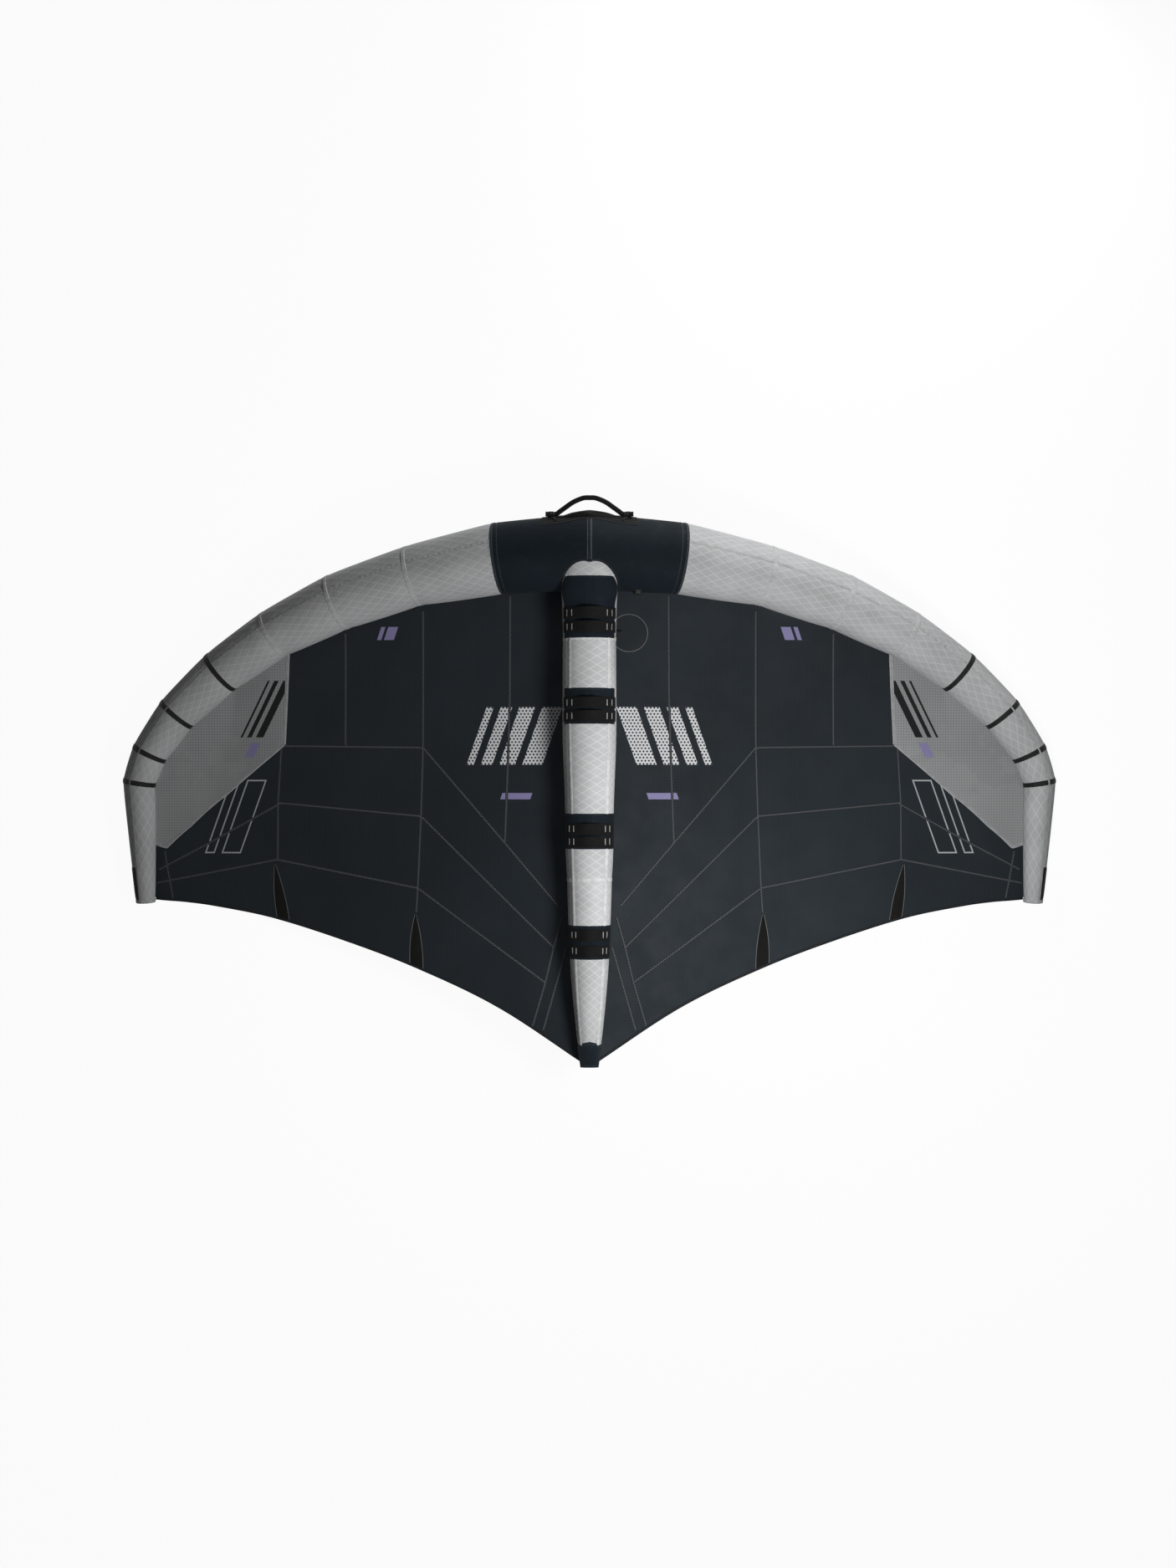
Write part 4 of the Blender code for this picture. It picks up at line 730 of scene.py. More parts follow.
def diamonds(paint, wide, high, width):
    """The crossed threads laid into the sleeves' cloth: wide along u and high along v."""
    a, b = paint.times(paint.u, 1 / wide), paint.times(paint.v, 1 / high)
    up = paint.lines(paint.add(a, b), 1.0, width)
    down = paint.lines(paint.math("SUBTRACT", a, b), 1.0, width)
    return paint.most(up, down)


def dacron(name, colour, wide, high, scuffs=0.06, quilt=0.0003):
    """Woven polyester sleeve cloth with crossed threads, faint creases and scuffs."""
    paint = Paint(name, 0.5, sheen=0.02, specular=0.10)
    threads = diamonds(paint, wide, high, 0.13)
    cell = paint.times(paint.wave(paint.u, wide), paint.wave(paint.v, high))
    broad = paint.noise(7.0, 4.0, 0.6)
    dirt = paint.fade(paint.noise(2.3, 6.0, 0.65), 0.52, 0.78)
    tone = paint.mottle(broad, 0.3, 0.7, colour, 0.91, 1.06)
    tone = paint.tint(tone, threads, 0.42, shade(colour, 1.45))
    tone = paint.tint(tone, dirt, scuffs, shade(colour, 0.45))
    weave = paint.add(paint.wave(paint.u, 0.0012), paint.wave(paint.v, 0.0012))
    height = paint.total((threads, 0.00022), (weave, 0.00002), (cell, quilt), (broad, 0.003),
                         (paint.noise(260.0, 2.0), 0.0002))
    return paint.finish(tone, height, 0.9, paint.fade(broad, 0.2, 0.8, 0.5, 0.66))


def ripstop(name, colour, grid, line=0.16, ink=2.1, across=1.0, prints=None):
    """Thin spinnaker cloth with a grid of thicker threads, soft creases and faint colour change."""
    paint = Paint(name, 0.6, sheen=0.01, specular=0.08)
    ups, rows = (paint.lines(paint.times(place, 1 / RIPSTOP_PITCH), 1.0, line)
                 for place in (paint.u, paint.v))
    ribs = paint.most(ups, paint.times(rows, across))
    crease = paint.noise(9.0, 4.0, 0.6)
    tone = paint.mottle(paint.noise(1.6, 5.0, 0.55), 0.3, 0.7, colour, 0.86, 1.16)
    tone = paint.tint(tone, ribs, grid, shade(colour, ink))
    for mask, printed in prints(paint) if prints else ():
        tone = paint.mix(mask, tone, printed)
    height = paint.total((ribs, 0.00008), (crease, 0.0008), (paint.noise(240.0, 2.0), 0.0001))
    return paint.finish(tone, height, 0.8, paint.fade(crease, 0.25, 0.75, 0.5, 0.64))


def webbing(name, colour, rows=(), thread=grey(0.55)):
    """Woven strap with ribs across it, worn lighter on its high threads."""
    paint = Paint(name, 0.75, sheen=0.01, specular=0.06)
    skew = paint.add(paint.v, paint.times(paint.math("PINGPONG", paint.u, 0.005), 0.9))
    ribs = paint.total((paint.wave(paint.v, 0.0022), 0.4), (paint.wave(skew, 0.0032), 0.6))
    wear = paint.fade(paint.noise(38.0, 4.0, 0.6), 0.45, 0.75)
    tone = paint.mottle(ribs, -0.8, 0.9, colour, 0.6, 1.5)
    tone = paint.tint(tone, wear, 0.35, shade(colour, 2.2))
    height = [(ribs, 0.00022)]
    if rows:
        sewn = paint.stitches(rows)
        tone = paint.mix(sewn, tone, thread)
        height.append((sewn, 0.0005))
    return paint.finish(tone, paint.total(*height), 1.0, paint.fade(ribs, -1.0, 1.0, 0.82, 0.62))


def seam_cloth(name, colour, rows, thread, swing=0.0, pitch=0.0045, width=0.0013):
    """A folded seam or tape with its rows of stitches."""
    paint = Paint(name, 0.6, sheen=0.01, specular=0.10)
    sewn = paint.stitches(rows, width, pitch, swing)
    tone = paint.mottle(paint.noise(45.0, 3.0), 0.3, 0.7, colour, 0.88, 1.12)
    height = paint.total((sewn, 0.0005), (paint.wave(paint.v, 0.0016), 0.00004),
                         (paint.wave(paint.v, 0.019), 0.0003))
    return paint.finish(paint.mix(sewn, tone, thread), height)


def heavy_cloth(name, colour):
    """Coarse coated pack cloth, with a basket weave and scuffs."""
    paint = Paint(name, 0.65, sheen=0.01, specular=0.05)
    basket = paint.times(paint.wave(paint.u, 0.0026), paint.wave(paint.v, 0.0026))
    wear = paint.fade(paint.noise(22.0, 5.0, 0.65), 0.5, 0.8)
    tone = paint.mottle(paint.noise(5.0, 3.0), 0.3, 0.7, colour, 0.85, 1.15)
    tone = paint.tint(tone, paint.fade(basket, -0.6, 0.8), 0.35, shade(colour, 1.7))
    tone = paint.tint(tone, wear, 0.25, shade(colour, 2.4))
    height = paint.total((basket, 0.00016), (paint.noise(14.0, 3.0), 0.002))
    return paint.finish(tone, height, 0.9, paint.fade(wear, 0.0, 1.0, 0.62, 0.48))


def thread_paint(name, colour):
    """A block of tightly packed zigzag stitches."""
    paint = Paint(name, 0.5, sheen=0.2)
    strands = paint.wave(paint.v, 0.0011)
    tone = paint.mottle(strands, -0.9, 0.6, colour, 0.55, 1.0)
    return paint.finish(tone, paint.times(strands, 0.0003), 1.0)


def moulded(name, colour, roughness):
    """Moulded plastic with a fine spark-eroded grain and faint scuffs."""
    paint = Paint(name, roughness, specular=0.5)
    grain = paint.noise(900.0, 2.0)
    scuff = paint.fade(paint.noise(60.0, 5.0, 0.7), 0.55, 0.8)
    tone = paint.tint(colour, scuff, 0.3, shade(colour, 2.4))
    rough = paint.fade(scuff, 0.0, 1.0, roughness, roughness + 0.15)
    return paint.finish(tone, paint.times(grain, 0.00008), 0.8, rough)


def film(name, colour):
    """Clear bladder film, with soft wrinkles."""
    paint = Paint(name, 0.22, coat=0.2)
    wrinkle = paint.noise(30.0, 4.0, 0.6)
    tone = paint.mottle(wrinkle, 0.3, 0.7, colour, 0.9, 1.0)
    return paint.finish(tone, paint.times(wrinkle, 0.003), 0.8)


# Cloth: a thread's colour, and how far apart the ripstop's thicker threads lie
PALE_THREAD = (0.26, 0.27, 0.28)
RIPSTOP_PITCH = 0.0095

# Seams with two rows of stitches: cloth, each row's distance from the middle, and thread
SEAM_CLOTHS = (
    ("band", "sleeve_seam_band", (0.50, 0.505, 0.51), 0.0045, grey(0.70)),
    ("length_seam", "sleeve_length_seam", (0.445, 0.45, 0.455), 0.0025, grey(0.52)),
    ("strut_band", "strut_seam_band", (0.66, 0.665, 0.67), 0.005, grey(0.80)),
    ("tape", "black_seam_tape", (0.0125, 0.0125, 0.013), 0.006, grey(0.028)),
    ("navy_edge", "navy_edge_seam", (0.0075, 0.0105, 0.0145), 0.002, (0.09, 0.10, 0.11)),
    ("saddle", "saddle_seam", (0.0075, 0.0100, 0.0130), 0.0025, (0.022, 0.024, 0.028)),
    ("grey_seam", "grey_panel_seam", (0.34, 0.345, 0.35), 0.004, grey(0.60)),
)

# Pads: the cloth simulation, the places of points beside their edges, and their spacing elsewhere
SWELL_PRESSURE = 4.0
SWELL_FRAMES = 20
PAD_STOPS = (0.0, 0.0010, 0.0022, 0.0036, 0.0050, 0.0060, 0.0070, 0.0080, 0.0092, 0.0110, 0.0140)
PAD_STEP = 0.0042
PAD_ROUND = 0.09
PAD_STITCH_INSET = 0.0065

# Colours, and how soft the edges of the prints are
LAVENDER = (0.26, 0.235, 0.42)
PRINT_EDGE = 0.0006
NAVY = (0.0070, 0.0108, 0.0146)
CANOPY_COLOUR = (0.0150, 0.0196, 0.0240)


def slanted(paint, slope, spans, low, high):
    """Slanted bars on both sides of the strut: spans of x along y = 0, between two values of y."""
    slant = paint.add(paint.math("ABSOLUTE", paint.x), paint.times(paint.y, slope))
    bars = paint.most(*[paint.between(slant, *span, PRINT_EDGE) for span in spans])
    return paint.times(paint.between(paint.y, low, high, PRINT_EDGE), bars)


def dots(paint, step, radius):
    """One everywhere but in rows of round dots, each row set off by half a step."""
    row = step * math.sqrt(3) / 2
    aside, aback = paint.math("PINGPONG", paint.x, step / 2), paint.math("PINGPONG", paint.y, row)
    far = []
    for x, y in ((aside, aback),
                 (paint.math("SUBTRACT", step / 2, aside), paint.math("SUBTRACT", row, aback))):
        far.append(paint.math("SQRT", paint.add(paint.times(x, x), paint.times(y, y))))
    return paint.fade(paint.math("MINIMUM", *far), radius - PRINT_EDGE, radius + PRINT_EDGE)


def canopy_prints(paint):
    """Plain prints: bars in a screen of dots, a lavender stripe and outlined bars near the tips."""
    bars = slanted(paint, 0.35, ((0.185, 0.255), (0.28, 0.335), (0.36, 0.40), (0.425, 0.45)),
                   0.062, 0.262)
    stripe = slanted(paint, 0.35, ((0.185, 0.29),), -0.058, -0.036)
    frames = slanted(paint, 0.35, ((1.145, 1.215), (1.24, 1.275)), -0.25, 0.01)
    holes = slanted(paint, 0.35, ((1.150, 1.210), (1.245, 1.270)), -0.245, 0.005)
    marks = slanted(paint, 0.35, ((0.86, 0.895), (0.905, 0.92)), 0.50, 0.545)
    return [
        (paint.times(bars, dots(paint, 0.0125, 0.0033)), (0.66, 0.67, 0.68)),
        (stripe, LAVENDER),
        (marks, LAVENDER),
        (paint.math("SUBTRACT", frames, holes), (0.42, 0.43, 0.44)),
    ]


def tip_prints(paint):
    """Plain black bars and a lavender block on the grey tips, and a paler worn patch."""
    patchy = paint.add(paint.noise(14.0, 5.0, 0.6), paint.times(paint.y, -0.9))
    worn = paint.times(paint.fade(patchy, 0.44, 0.47), 0.14)
    bars = slanted(paint, 0.5, ((1.235, 1.262), (1.278, 1.294), (1.31, 1.318)), 0.16, 0.36)
    block = slanted(paint, 0.5, ((1.235, 1.268),), 0.09, 0.14)
    return [(worn, grey(0.42)), (bars, (0.012, 0.012, 0.013)), (block, LAVENDER)]


class Paints:
    """All the materials, each made once."""

    def __init__(self):
        self.sleeve = dacron("sleeve_dacron", (0.47, 0.475, 0.48), 0.052, 0.028)
        self.strut = dacron("strut_dacron", (0.55, 0.555, 0.56), 0.029, 0.052, 0.08, 0.0001)
        for key, name, colour, half, thread in SEAM_CLOTHS:
            setattr(self, key, seam_cloth(name, colour, (-half, half), thread))
        self.navy_seam = seam_cloth("navy_seam", (0.0095, 0.0135, 0.0175), (-0.0066, 0.0066),
                                    (0.15, 0.16, 0.17), width=0.0018)
        self.canopy_seam = seam_cloth("canopy_seam", (0.0155, 0.0190, 0.0235), (0.0,),
                                      (0.10, 0.105, 0.11), 0.0022, 0.005, 0.0034)
        self.outline = seam_cloth("pocket_outline", (0.06, 0.064, 0.068), (0.0,), PALE_THREAD)
        self.hem = seam_cloth("hem_cloth", (0.0080, 0.0105, 0.0135), (-0.002,),
                              (0.03, 0.032, 0.034))
        self.navy = heavy_cloth("navy_cloth", NAVY)
        self.pad = heavy_cloth("navy_pad_cloth", (0.0075, 0.0116, 0.0158))
        # Painted light: the tail cap is the same navy cloth as the other navy parts, coloured
        # lighter to stand in for more light on the strut's tail.
        self.cap = heavy_cloth("tail_cap_navy_painted_lighter", (0.0135, 0.0195, 0.0250))
        self.pocket = heavy_cloth("pocket_cloth", (0.0080, 0.0076, 0.0072))
        self.canopy = ripstop("canopy_ripstop_cloth", CANOPY_COLOUR, 0.16, across=0.35,
                              prints=canopy_prints)
        self.grey = ripstop("grey_ripstop_cloth", (0.33, 0.335, 0.34), 0.5, 0.3, 0.5,
                            prints=tip_prints)
        self.patch = ripstop("round_patch_cloth", (0.0145, 0.0175, 0.021), 0.10)
        self.webbing = webbing("black_webbing_weave", (0.0078, 0.0076, 0.0075))
        self.keeper = webbing("keeper_webbing", grey(0.0125), (-0.0045, 0.0045), grey(0.12))
        self.handle = webbing("handle_webbing", (0.0085, 0.0084, 0.0082), (0.0,), grey(0.02))
        self.base = webbing("base_webbing", (0.0080, 0.0080, 0.0084), (0.004, 0.016, 0.064),
                            grey(0.12))
        self.tack = thread_paint("tack_thread", grey(0.62))
        self.plastic = moulded("valve_plastic", (0.012, 0.012, 0.0125), 0.4)
        self.film = film("bladder_film_clear", (0.75, 0.78, 0.80))


def pucker(away, angles, seam_dip, ripple, count, seed):
    """How far a sleeve's cloth lies inside its round shape, beside a seam."""
    draw = np.random.default_rng(seed)
    phases = draw.uniform(0, 2 * math.pi, 3)
    waves = sum(
        np.cos(angles * (count + 3 * k) + phase) / (k + 1) for k, phase in enumerate(phases)
    ) / 1.8
    inner_side = 0.45 + 0.55 * np.clip(np.cos(angles - 0.2), 0.0, 1.0)
    envelope = smoothstep(away, 0.006, 0.02) * np.exp(-away / 0.035)
    dip = seam_dip * np.exp(-((away / 0.022) ** 2))
    return -dip - ripple * envelope * inner_side * (1.0 + waves) / 2


# Sleeves: the number of their sides, their bulge between two seams, and the dips beside a seam
SLEEVE_SIDES = 96
SLEEVE_BULGE = 0.0013
SEAM_DIP = 0.0009
SEAM_RIPPLE = 0.0022


def sleeve_angles(count=SLEEVE_SIDES):
    return np.linspace(0.0, 2 * math.pi, count, endpoint=False)


def sleeve_offset(tube, j, shares, angles, ripple=SEAM_RIPPLE):
    """The offset of a sleeve's cloth from the tube's straight line between two seams."""
    shares = np.atleast_1d(shares)
    length = tube.length[j]
    bulge = SLEEVE_BULGE * np.sin(math.pi * np.clip(shares, 0, 1))[:, None] ** 0.6
    offset = bulge * np.ones((len(shares), len(angles)))
    ends = []
    if j > 0:
        ends.append((shares * length, j))
    ends.append(((1 - shares) * length, j + 1))
    for away, joint in ends:
        offset = offset + pucker(np.abs(away)[:, None], angles[None, :], SEAM_DIP, ripple,
                                 14 - joint // 2, 11 * joint + 3)
    return offset


def make_sleeves(tube, paints):
    """The centre panel and eight panels on each side; returns the surface of all of them."""
    whole = Shape()
    angles = sleeve_angles()

    def sleeve(name, points, far, j, paint, slot, node, flip):
        shape = Shape()
        for each in (shape, whole):
            each.hose(points, far, angles, lerp(tube.radius[j], tube.radius[j + 1], 0.5), flip)
        piece(name, shape, paint, [node])

    def skin(j, shares):
        return tube.points(j, shares, angles, sleeve_offset(tube, j, shares, angles))

    shares = np.linspace(0.0, 1.0, 33)
    right = skin(0, shares)
    middle = np.concatenate([(right * MIRROR)[:0:-1], right])
    span = np.concatenate([-shares[:0:-1], shares]) * tube.length[0]
    sleeve("sleeve_center", middle, span, 0, paints.navy, "navy_fabric", "le_center_panel", True)
    for side, word in SIDES:
        for j in range(1, LAST_SEGMENT + 1):
            count = 61 if j == LAST_SEGMENT else 25 if tube.length[j] < 0.22 else 37
            shares = np.linspace(0.0, 1.0, count)
            sleeve(f"sleeve_{j}_{word}", mirrored(skin(j, shares), side), shares * tube.length[j],
                   j, paints.sleeve, "light_dacron", f"le_panel_{j}_{word}", side > 0)
    return whole.tree()


def raised(width, height, *half):
    """Places across a band and heights over them, from shares of both on its left half."""
    left = [(-place, rise) for place, rise in half]
    right = [(place, rise) for place, rise in half[::-1] if place]
    places, rises = np.array(left + right).T
    return places * width / 2, rises * height


def tube_band(shape, tube, j, width, height, angles, side):
    """A band round the seam at joint j, on both of its panels."""
    across, rises = raised(width, height, (1.0, 0.02), (0.86, 0.9), (0.4, 1.0), (0.0, 1.0))
    rows = []
    for along, rise in zip(across, rises):
        segment, start = (j - 1, 1) if along < 0 else (j, 0)
        share = start + tube.share_of(segment, along)
        offset = sleeve_offset(tube, segment, share, angles, 0.0)
        rows.append(tube.points(segment, share, angles, offset + 0.0003 + rise)[0])
    places = uv(across[:, None], (angles * tube.radius[j])[None, :])
    shape.grid(mirrored(np.array(rows), side), places, flip=side > 0)


def make_bands(tube, paints):
    """Pale bands over the inner seams and black tapes over the outer ones."""
    for side, word in SIDES:
        pale, black, edge = Shape(), Shape(), Shape()
        for j in BAND_JOINTS:
            tube_band(pale, tube, j, BAND_WIDTH, 0.0008, BAND_ANGLES, side)
        piece(f"seam_bands_{word}", pale, paints.band)
        tube_band(black, tube, PLAIN_TAPE_JOINT, TAPE_WIDTH, TAPE_THICKNESS, BAND_ANGLES, side)
        for j in SPLIT_TAPE_JOINTS:
            half = TAPE_SPLIT / 2 / tube.radius[j]
            for span in ((BAND_ANGLES[0], SPLIT_ANGLE - half, 40),
                         (SPLIT_ANGLE + half, BAND_ANGLES[-1], 56)):
                tube_band(black, tube, j, TAPE_WIDTH, TAPE_THICKNESS, np.linspace(*span), side)
        piece(f"seam_tapes_{word}", black, paints.tape)
        tube_band(edge, tube, 1, 0.010, 0.0009, BAND_ANGLES, side)
        piece(f"center_panel_edge_{word}", edge, paints.navy_edge)


def strip_along(shape, tube, angle, width, height, side):
    """A band along the side panels at one angle."""
    across, rises = raised(width, height, (1.0, 0.02), (0.8, 0.9), (0.0, 1.0))
    rows, far = [], []
    for j in range(1, LAST_SEGMENT + 1):
        for share in np.linspace(0.0, 1.0, 25)[: None if j == LAST_SEGMENT else -1]:
            spread = angle + across / lerp(tube.radius[j], tube.radius[j + 1], share)
            offset = sleeve_offset(tube, j, share, spread, 0.0)
            rows.append(tube.points(j, share, spread, offset + 0.0002 + rises)[0])
            far.append(sum(tube.length[1:j]) + share * tube.length[j])
    places = uv(across[None, :], np.array(far)[:, None])
    shape.grid(mirrored(np.array(rows), side), places, flip=side > 0)


def make_length_seams(tube, paints):
    """The sleeves' seam along the tube, towards its front, and the one over the canopy's edge."""
    for side, word in SIDES:
        shape = Shape()
        strip_along(shape, tube, SPLIT_ANGLE, 0.009, 0.0003, side)
        strip_along(shape, tube, ATTACH_ANGLE + 0.012 / TUBE_RADIUS, 0.014, 0.0006, side)
        piece(f"sleeve_length_seams_{word}", shape, paints.length_seam)


def make_tip_ends(tube, paints):
    """The cuffed caps and the black rubbing patches at the tips."""
    last = LAST_SEGMENT
    angles = sleeve_angles(72)
    length, radius = tube.length[last], tube.radius[last + 1]
    cuff, room = tube.share_of(last, TIP_CUFF), tube.share_of(last, TIP_CAP_END)
    stations = ((1 - cuff, 0.0), (1 - cuff, 0.0012), (1 - cuff * 0.5, 0.0015), (1.0, 0.0013),
                (1 + room * 0.5, 0.0002), (1 + room * 0.85, -0.006), (1 + room, -0.016))
    rings = np.array([tube.points(last, share, angles, rise)[0] for share, rise in stations])
    far = np.array([share * length for share, _ in stations])
    start = 1 - cuff - tube.share_of(last, TIP_PATCH_LENGTH)
    wrap = np.linspace(7 * TUBE_STEP, 13 * TUBE_STEP, 25)
    spans = np.linspace(start, 1 - cuff, 17)
    edge_u = np.clip(np.minimum(spans - start, 1 - cuff - spans) * length / 0.003, 0.1, 1)
    edge_v = np.clip((3 * TUBE_STEP - np.abs(wrap - 10 * TUBE_STEP)) / 0.05, 0.1, 1)
    lift = 0.0014 * np.minimum(edge_u[:, None], edge_v[None, :]) + 0.0001
    offset = sleeve_offset(tube, last, spans, wrap, 0.0)
    points = tube.points(last, spans, wrap, offset + lift)
    places = uv((spans * length)[:, None], (wrap * radius)[None, :])
    for side, word in SIDES:
        shape, patch = Shape(), Shape()
        shape.hose(mirrored(rings, side), far, angles, radius, side > 0)
        shape.lid(mirrored(rings[-1], side), flip=side > 0)
        piece(f"tip_end_{word}", shape, paints.sleeve, [f"tip_cap_{word}"])
        patch.grid(mirrored(points, side), places, flip=side > 0)
        piece(f"tip_patch_{word}", patch, paints.pocket)


def make_bladders(tube, strut, paints):
    """The clear bladders inside the leading edge and the strut."""
    angles = sleeve_angles(32)
    rings, far = [], []
    for j in range(LAST_SEGMENT + 1):
        end = 1.0 if j < LAST_SEGMENT else 1 - tube.share_of(j, 0.012)
        for share in np.linspace(0.0, end, 9)[(0 if j == 0 else 1):]:
            rings.append(tube.points(j, share, angles, -SLEEVE_WALL - 0.0035)[0])
            far.append(sum(tube.length[:j]) + share * tube.length[j])
    right, far = np.array(rings), np.array(far)
    both = np.concatenate([(right * MIRROR)[:0:-1], right])
    ys = np.linspace(strut.place(0.108), strut.place(0.94), 48)
    inner = strut.points(ys[:, None], angles[None, :], -SLEEVE_WALL - 0.0045)
    for name, node, points, along, radius, flip in (
        ("bladder_leading_edge", "le_bladder", both, np.concatenate([-far[:0:-1], far]), 0.1, True),
        ("bladder_strut", "strut_bladder", inner, strut.front - ys, 0.08, False),
    ):
        shape = Shape()
        shape.hose(points, along, angles, radius, flip)
        shape.lid(points[0], flip=not flip)
        shape.lid(points[-1], flip=flip)
        piece(name, shape, paints.film, [node])


def nose_line(strut, sleeves, angles, offset):
    """Where a line along the strut at each angle, an offset outside its skin, meets the tube."""
    y = np.full(len(angles), strut.root_y + 0.03)
    for _ in range(4):
        points = strut.points(y, angles, offset)
        for i, point in enumerate(points):
            start = Vector((point[0], strut.place(0.2), point[2]))
            spot = sleeves.ray_cast(start, Vector((0, 1, 0)))[0]
            if spot is not None:
                y[i] = spot.y
    return y


# The strut's sides, how its cloth's places go round it in metres, and where its side seams run
STRUT_SIDES = 96
STRUT_ROUND = 0.09
SEAM_ANGLE = math.radians(47.0)


def strut_offset(strut, ys, angles, seams):
    """Slight bulges between the strut's seams and puckers beside them."""
    offset = np.zeros(np.broadcast_shapes(ys.shape, angles.shape))
    for number, seam in enumerate(seams):
        away = np.abs(ys - strut.place(seam))
        offset = offset + pucker(away, np.broadcast_to(angles, offset.shape) + 1.2, 0.0007, 0.0014,
                                 13, 71 + number)
    return offset


def make_strut(strut, sleeves, paints):
    """The strut's sleeves and the flange of its saddle seam."""
    angles = np.linspace(-math.pi, math.pi, STRUT_SIDES, endpoint=False)
    seams = (NOSE_END_SHARE, CROSS_SEAM_SHARE, TAIL_CAP_SHARE)
    meet = nose_line(strut, sleeves, angles, 0.0)

    def sleeve(name, front, rear, count, node):
        shares = np.linspace(0.0, 1.0, count)[:, None]
        ys = lerp(front[None, :], rear, shares)
        offset = strut_offset(strut, ys, angles[None, :], seams)
        shape = Shape()
        far = strut.front - np.concatenate([ys, ys[:, :1]], 1)
        shape.hose(strut.points(ys, angles[None, :], offset), far, angles, STRUT_ROUND)
        piece(name, shape, paints.strut, [node])

    nose, cross, tail = (strut.place(share) for share in seams)
    constant = np.ones(len(angles))
    sleeve("strut_skin_nose", meet + 0.003, nose, 40, "strut_nose")
    sleeve("strut_skin_front", constant * nose, cross, 100, "strut_sleeve_front")
    sleeve("strut_skin_rear", constant * cross, tail - 0.004, 70, "strut_sleeve_rear")
    flange = Shape()
    wrap = np.linspace(-math.radians(122), math.radians(122), 120)
    line = resample(strut.points(nose_line(strut, sleeves, wrap, 0.0), wrap), 0.004)
    way = ways(line)
    facing = np.array([np.array(sleeves.find_nearest(Vector(point))[1]) for point in line])
    facing = facing * np.sign(facing @ np.array(TUBE_REARWARD))[:, None]
    outward = unit(np.cross(way, facing))
    outward = outward * np.sign(outward[len(line) // 2] @ AHEAD)
    ribbon(flange, line + outward * SADDLE_FLANGE * 0.5, sleeves, SADDLE_FLANGE * 1.15, 0.0016,
           over=TUBE_REARWARD)
    piece("strut_saddle_flange", flange, paints.saddle, ["strut_saddle_seam"])
    return angles, meet


def strut_band(shape, strut, y, angles):
    """A band round the strut over a seam."""
    across, rises = raised(0.014, 0.0008, (1.0, 0.02), (0.85, 0.9), (0.0, 1.0))
    ys = y + across
    offset = rises - 0.0007 * np.exp(-(((ys - y) / 0.022) ** 2)) + 0.0003
    points = strut.points(ys[:, None], angles[None, :], offset[:, None])
    shape.grid(points, uv(across[:, None], (angles * 0.08)[None, :]), flip=True)


def strut_strip(shape, strut, angle, first, last):
    """A band along the strut at one angle."""
    across, rises = raised(0.015, 0.0008, (1.0, 0.02), (0.8, 0.9), (0.0, 1.0))
    ys = np.linspace(first, last, 200)[:, None]
    spread = angle + across[None, :] / strut.reach(ys, angle)
    points = strut.points(ys, spread, rises[None, :] + 0.0003)
    shape.grid(points, uv(across[None, :], first - ys))


def make_strut_seams(strut, meet_top, paints):
    """The bands over the strut's cross seams and along both of its sides."""
    shape = Shape()
    for seam in (CROSS_SEAM_SHARE, NOSE_END_SHARE):
        strut_band(shape, strut, strut.place(seam), np.linspace(-math.pi, math.pi, 121))
    for side in (-1, 1):
        strut_strip(shape, strut, side * SEAM_ANGLE, meet_top - 0.004, strut.place(TAIL_CAP_SHARE))
    piece("strut_seams", shape, paints.strut_band)


def cap_front(strut, angles):
    """The tail cap's peaked front edge."""
    peak = 0.013 * np.clip(1 - np.abs(angles) / math.radians(75), 0.0, 1.0)
    return strut.place(TAIL_CAP_SHARE) + peak


def make_tail_cap(strut, paints):
    """The navy end of the strut, peaked in front and sewn flat behind."""
    angles = np.linspace(-math.pi, math.pi, STRUT_SIDES, endpoint=False)
    shares = np.linspace(0.0, 1.0, 28)[:, None]
    ys = lerp(cap_front(strut, angles)[None, :], strut.place(1.0) + 0.0015, shares)
    lift = np.full_like(ys, 0.0009)
    lift[0] = 0.0
    shape, seams = Shape(), Shape()
    points = strut.points(ys, angles[None, :], lift)
    shape.hose(points, strut.front - np.concatenate([ys, ys[:, :1]], 1), angles, STRUT_ROUND)
    shape.lid(points[-1])
    # The cap's navy is painted lighter than the other navy parts, as painted light.
    piece("strut_end_cap", shape, paints.cap, ["strut_tail_cap"])
    wrap = np.linspace(-math.radians(85), math.radians(85), 60)
    across, rises = raised(0.004, 0.0004, (1.0, 0.02), (0.7, 1.0))
    for middle in (cap_front(strut, wrap) - 0.0085, np.full(60, strut.place(1.0) + 0.0065)):
        rows = [strut.points(middle + x, wrap, 0.0011 + up) for x, up in zip(across, rises)]
        seams.grid(np.array(rows), uv(across[:, None], (wrap * 0.04)[None, :]), flip=True)
    piece("strut_end_cap_seams", seams, paints.navy_edge)


def pad_stops(length):
    """Places across a pad, closer together near its sewn edges."""
    edge = np.array(PAD_STOPS)
    count = int((length - 2 * edge[-1]) / PAD_STEP)
    inner = np.linspace(edge[-1], length - edge[-1], count + 2)[1:-1]
    return np.concatenate([edge, inner, (length - edge)[::-1]])


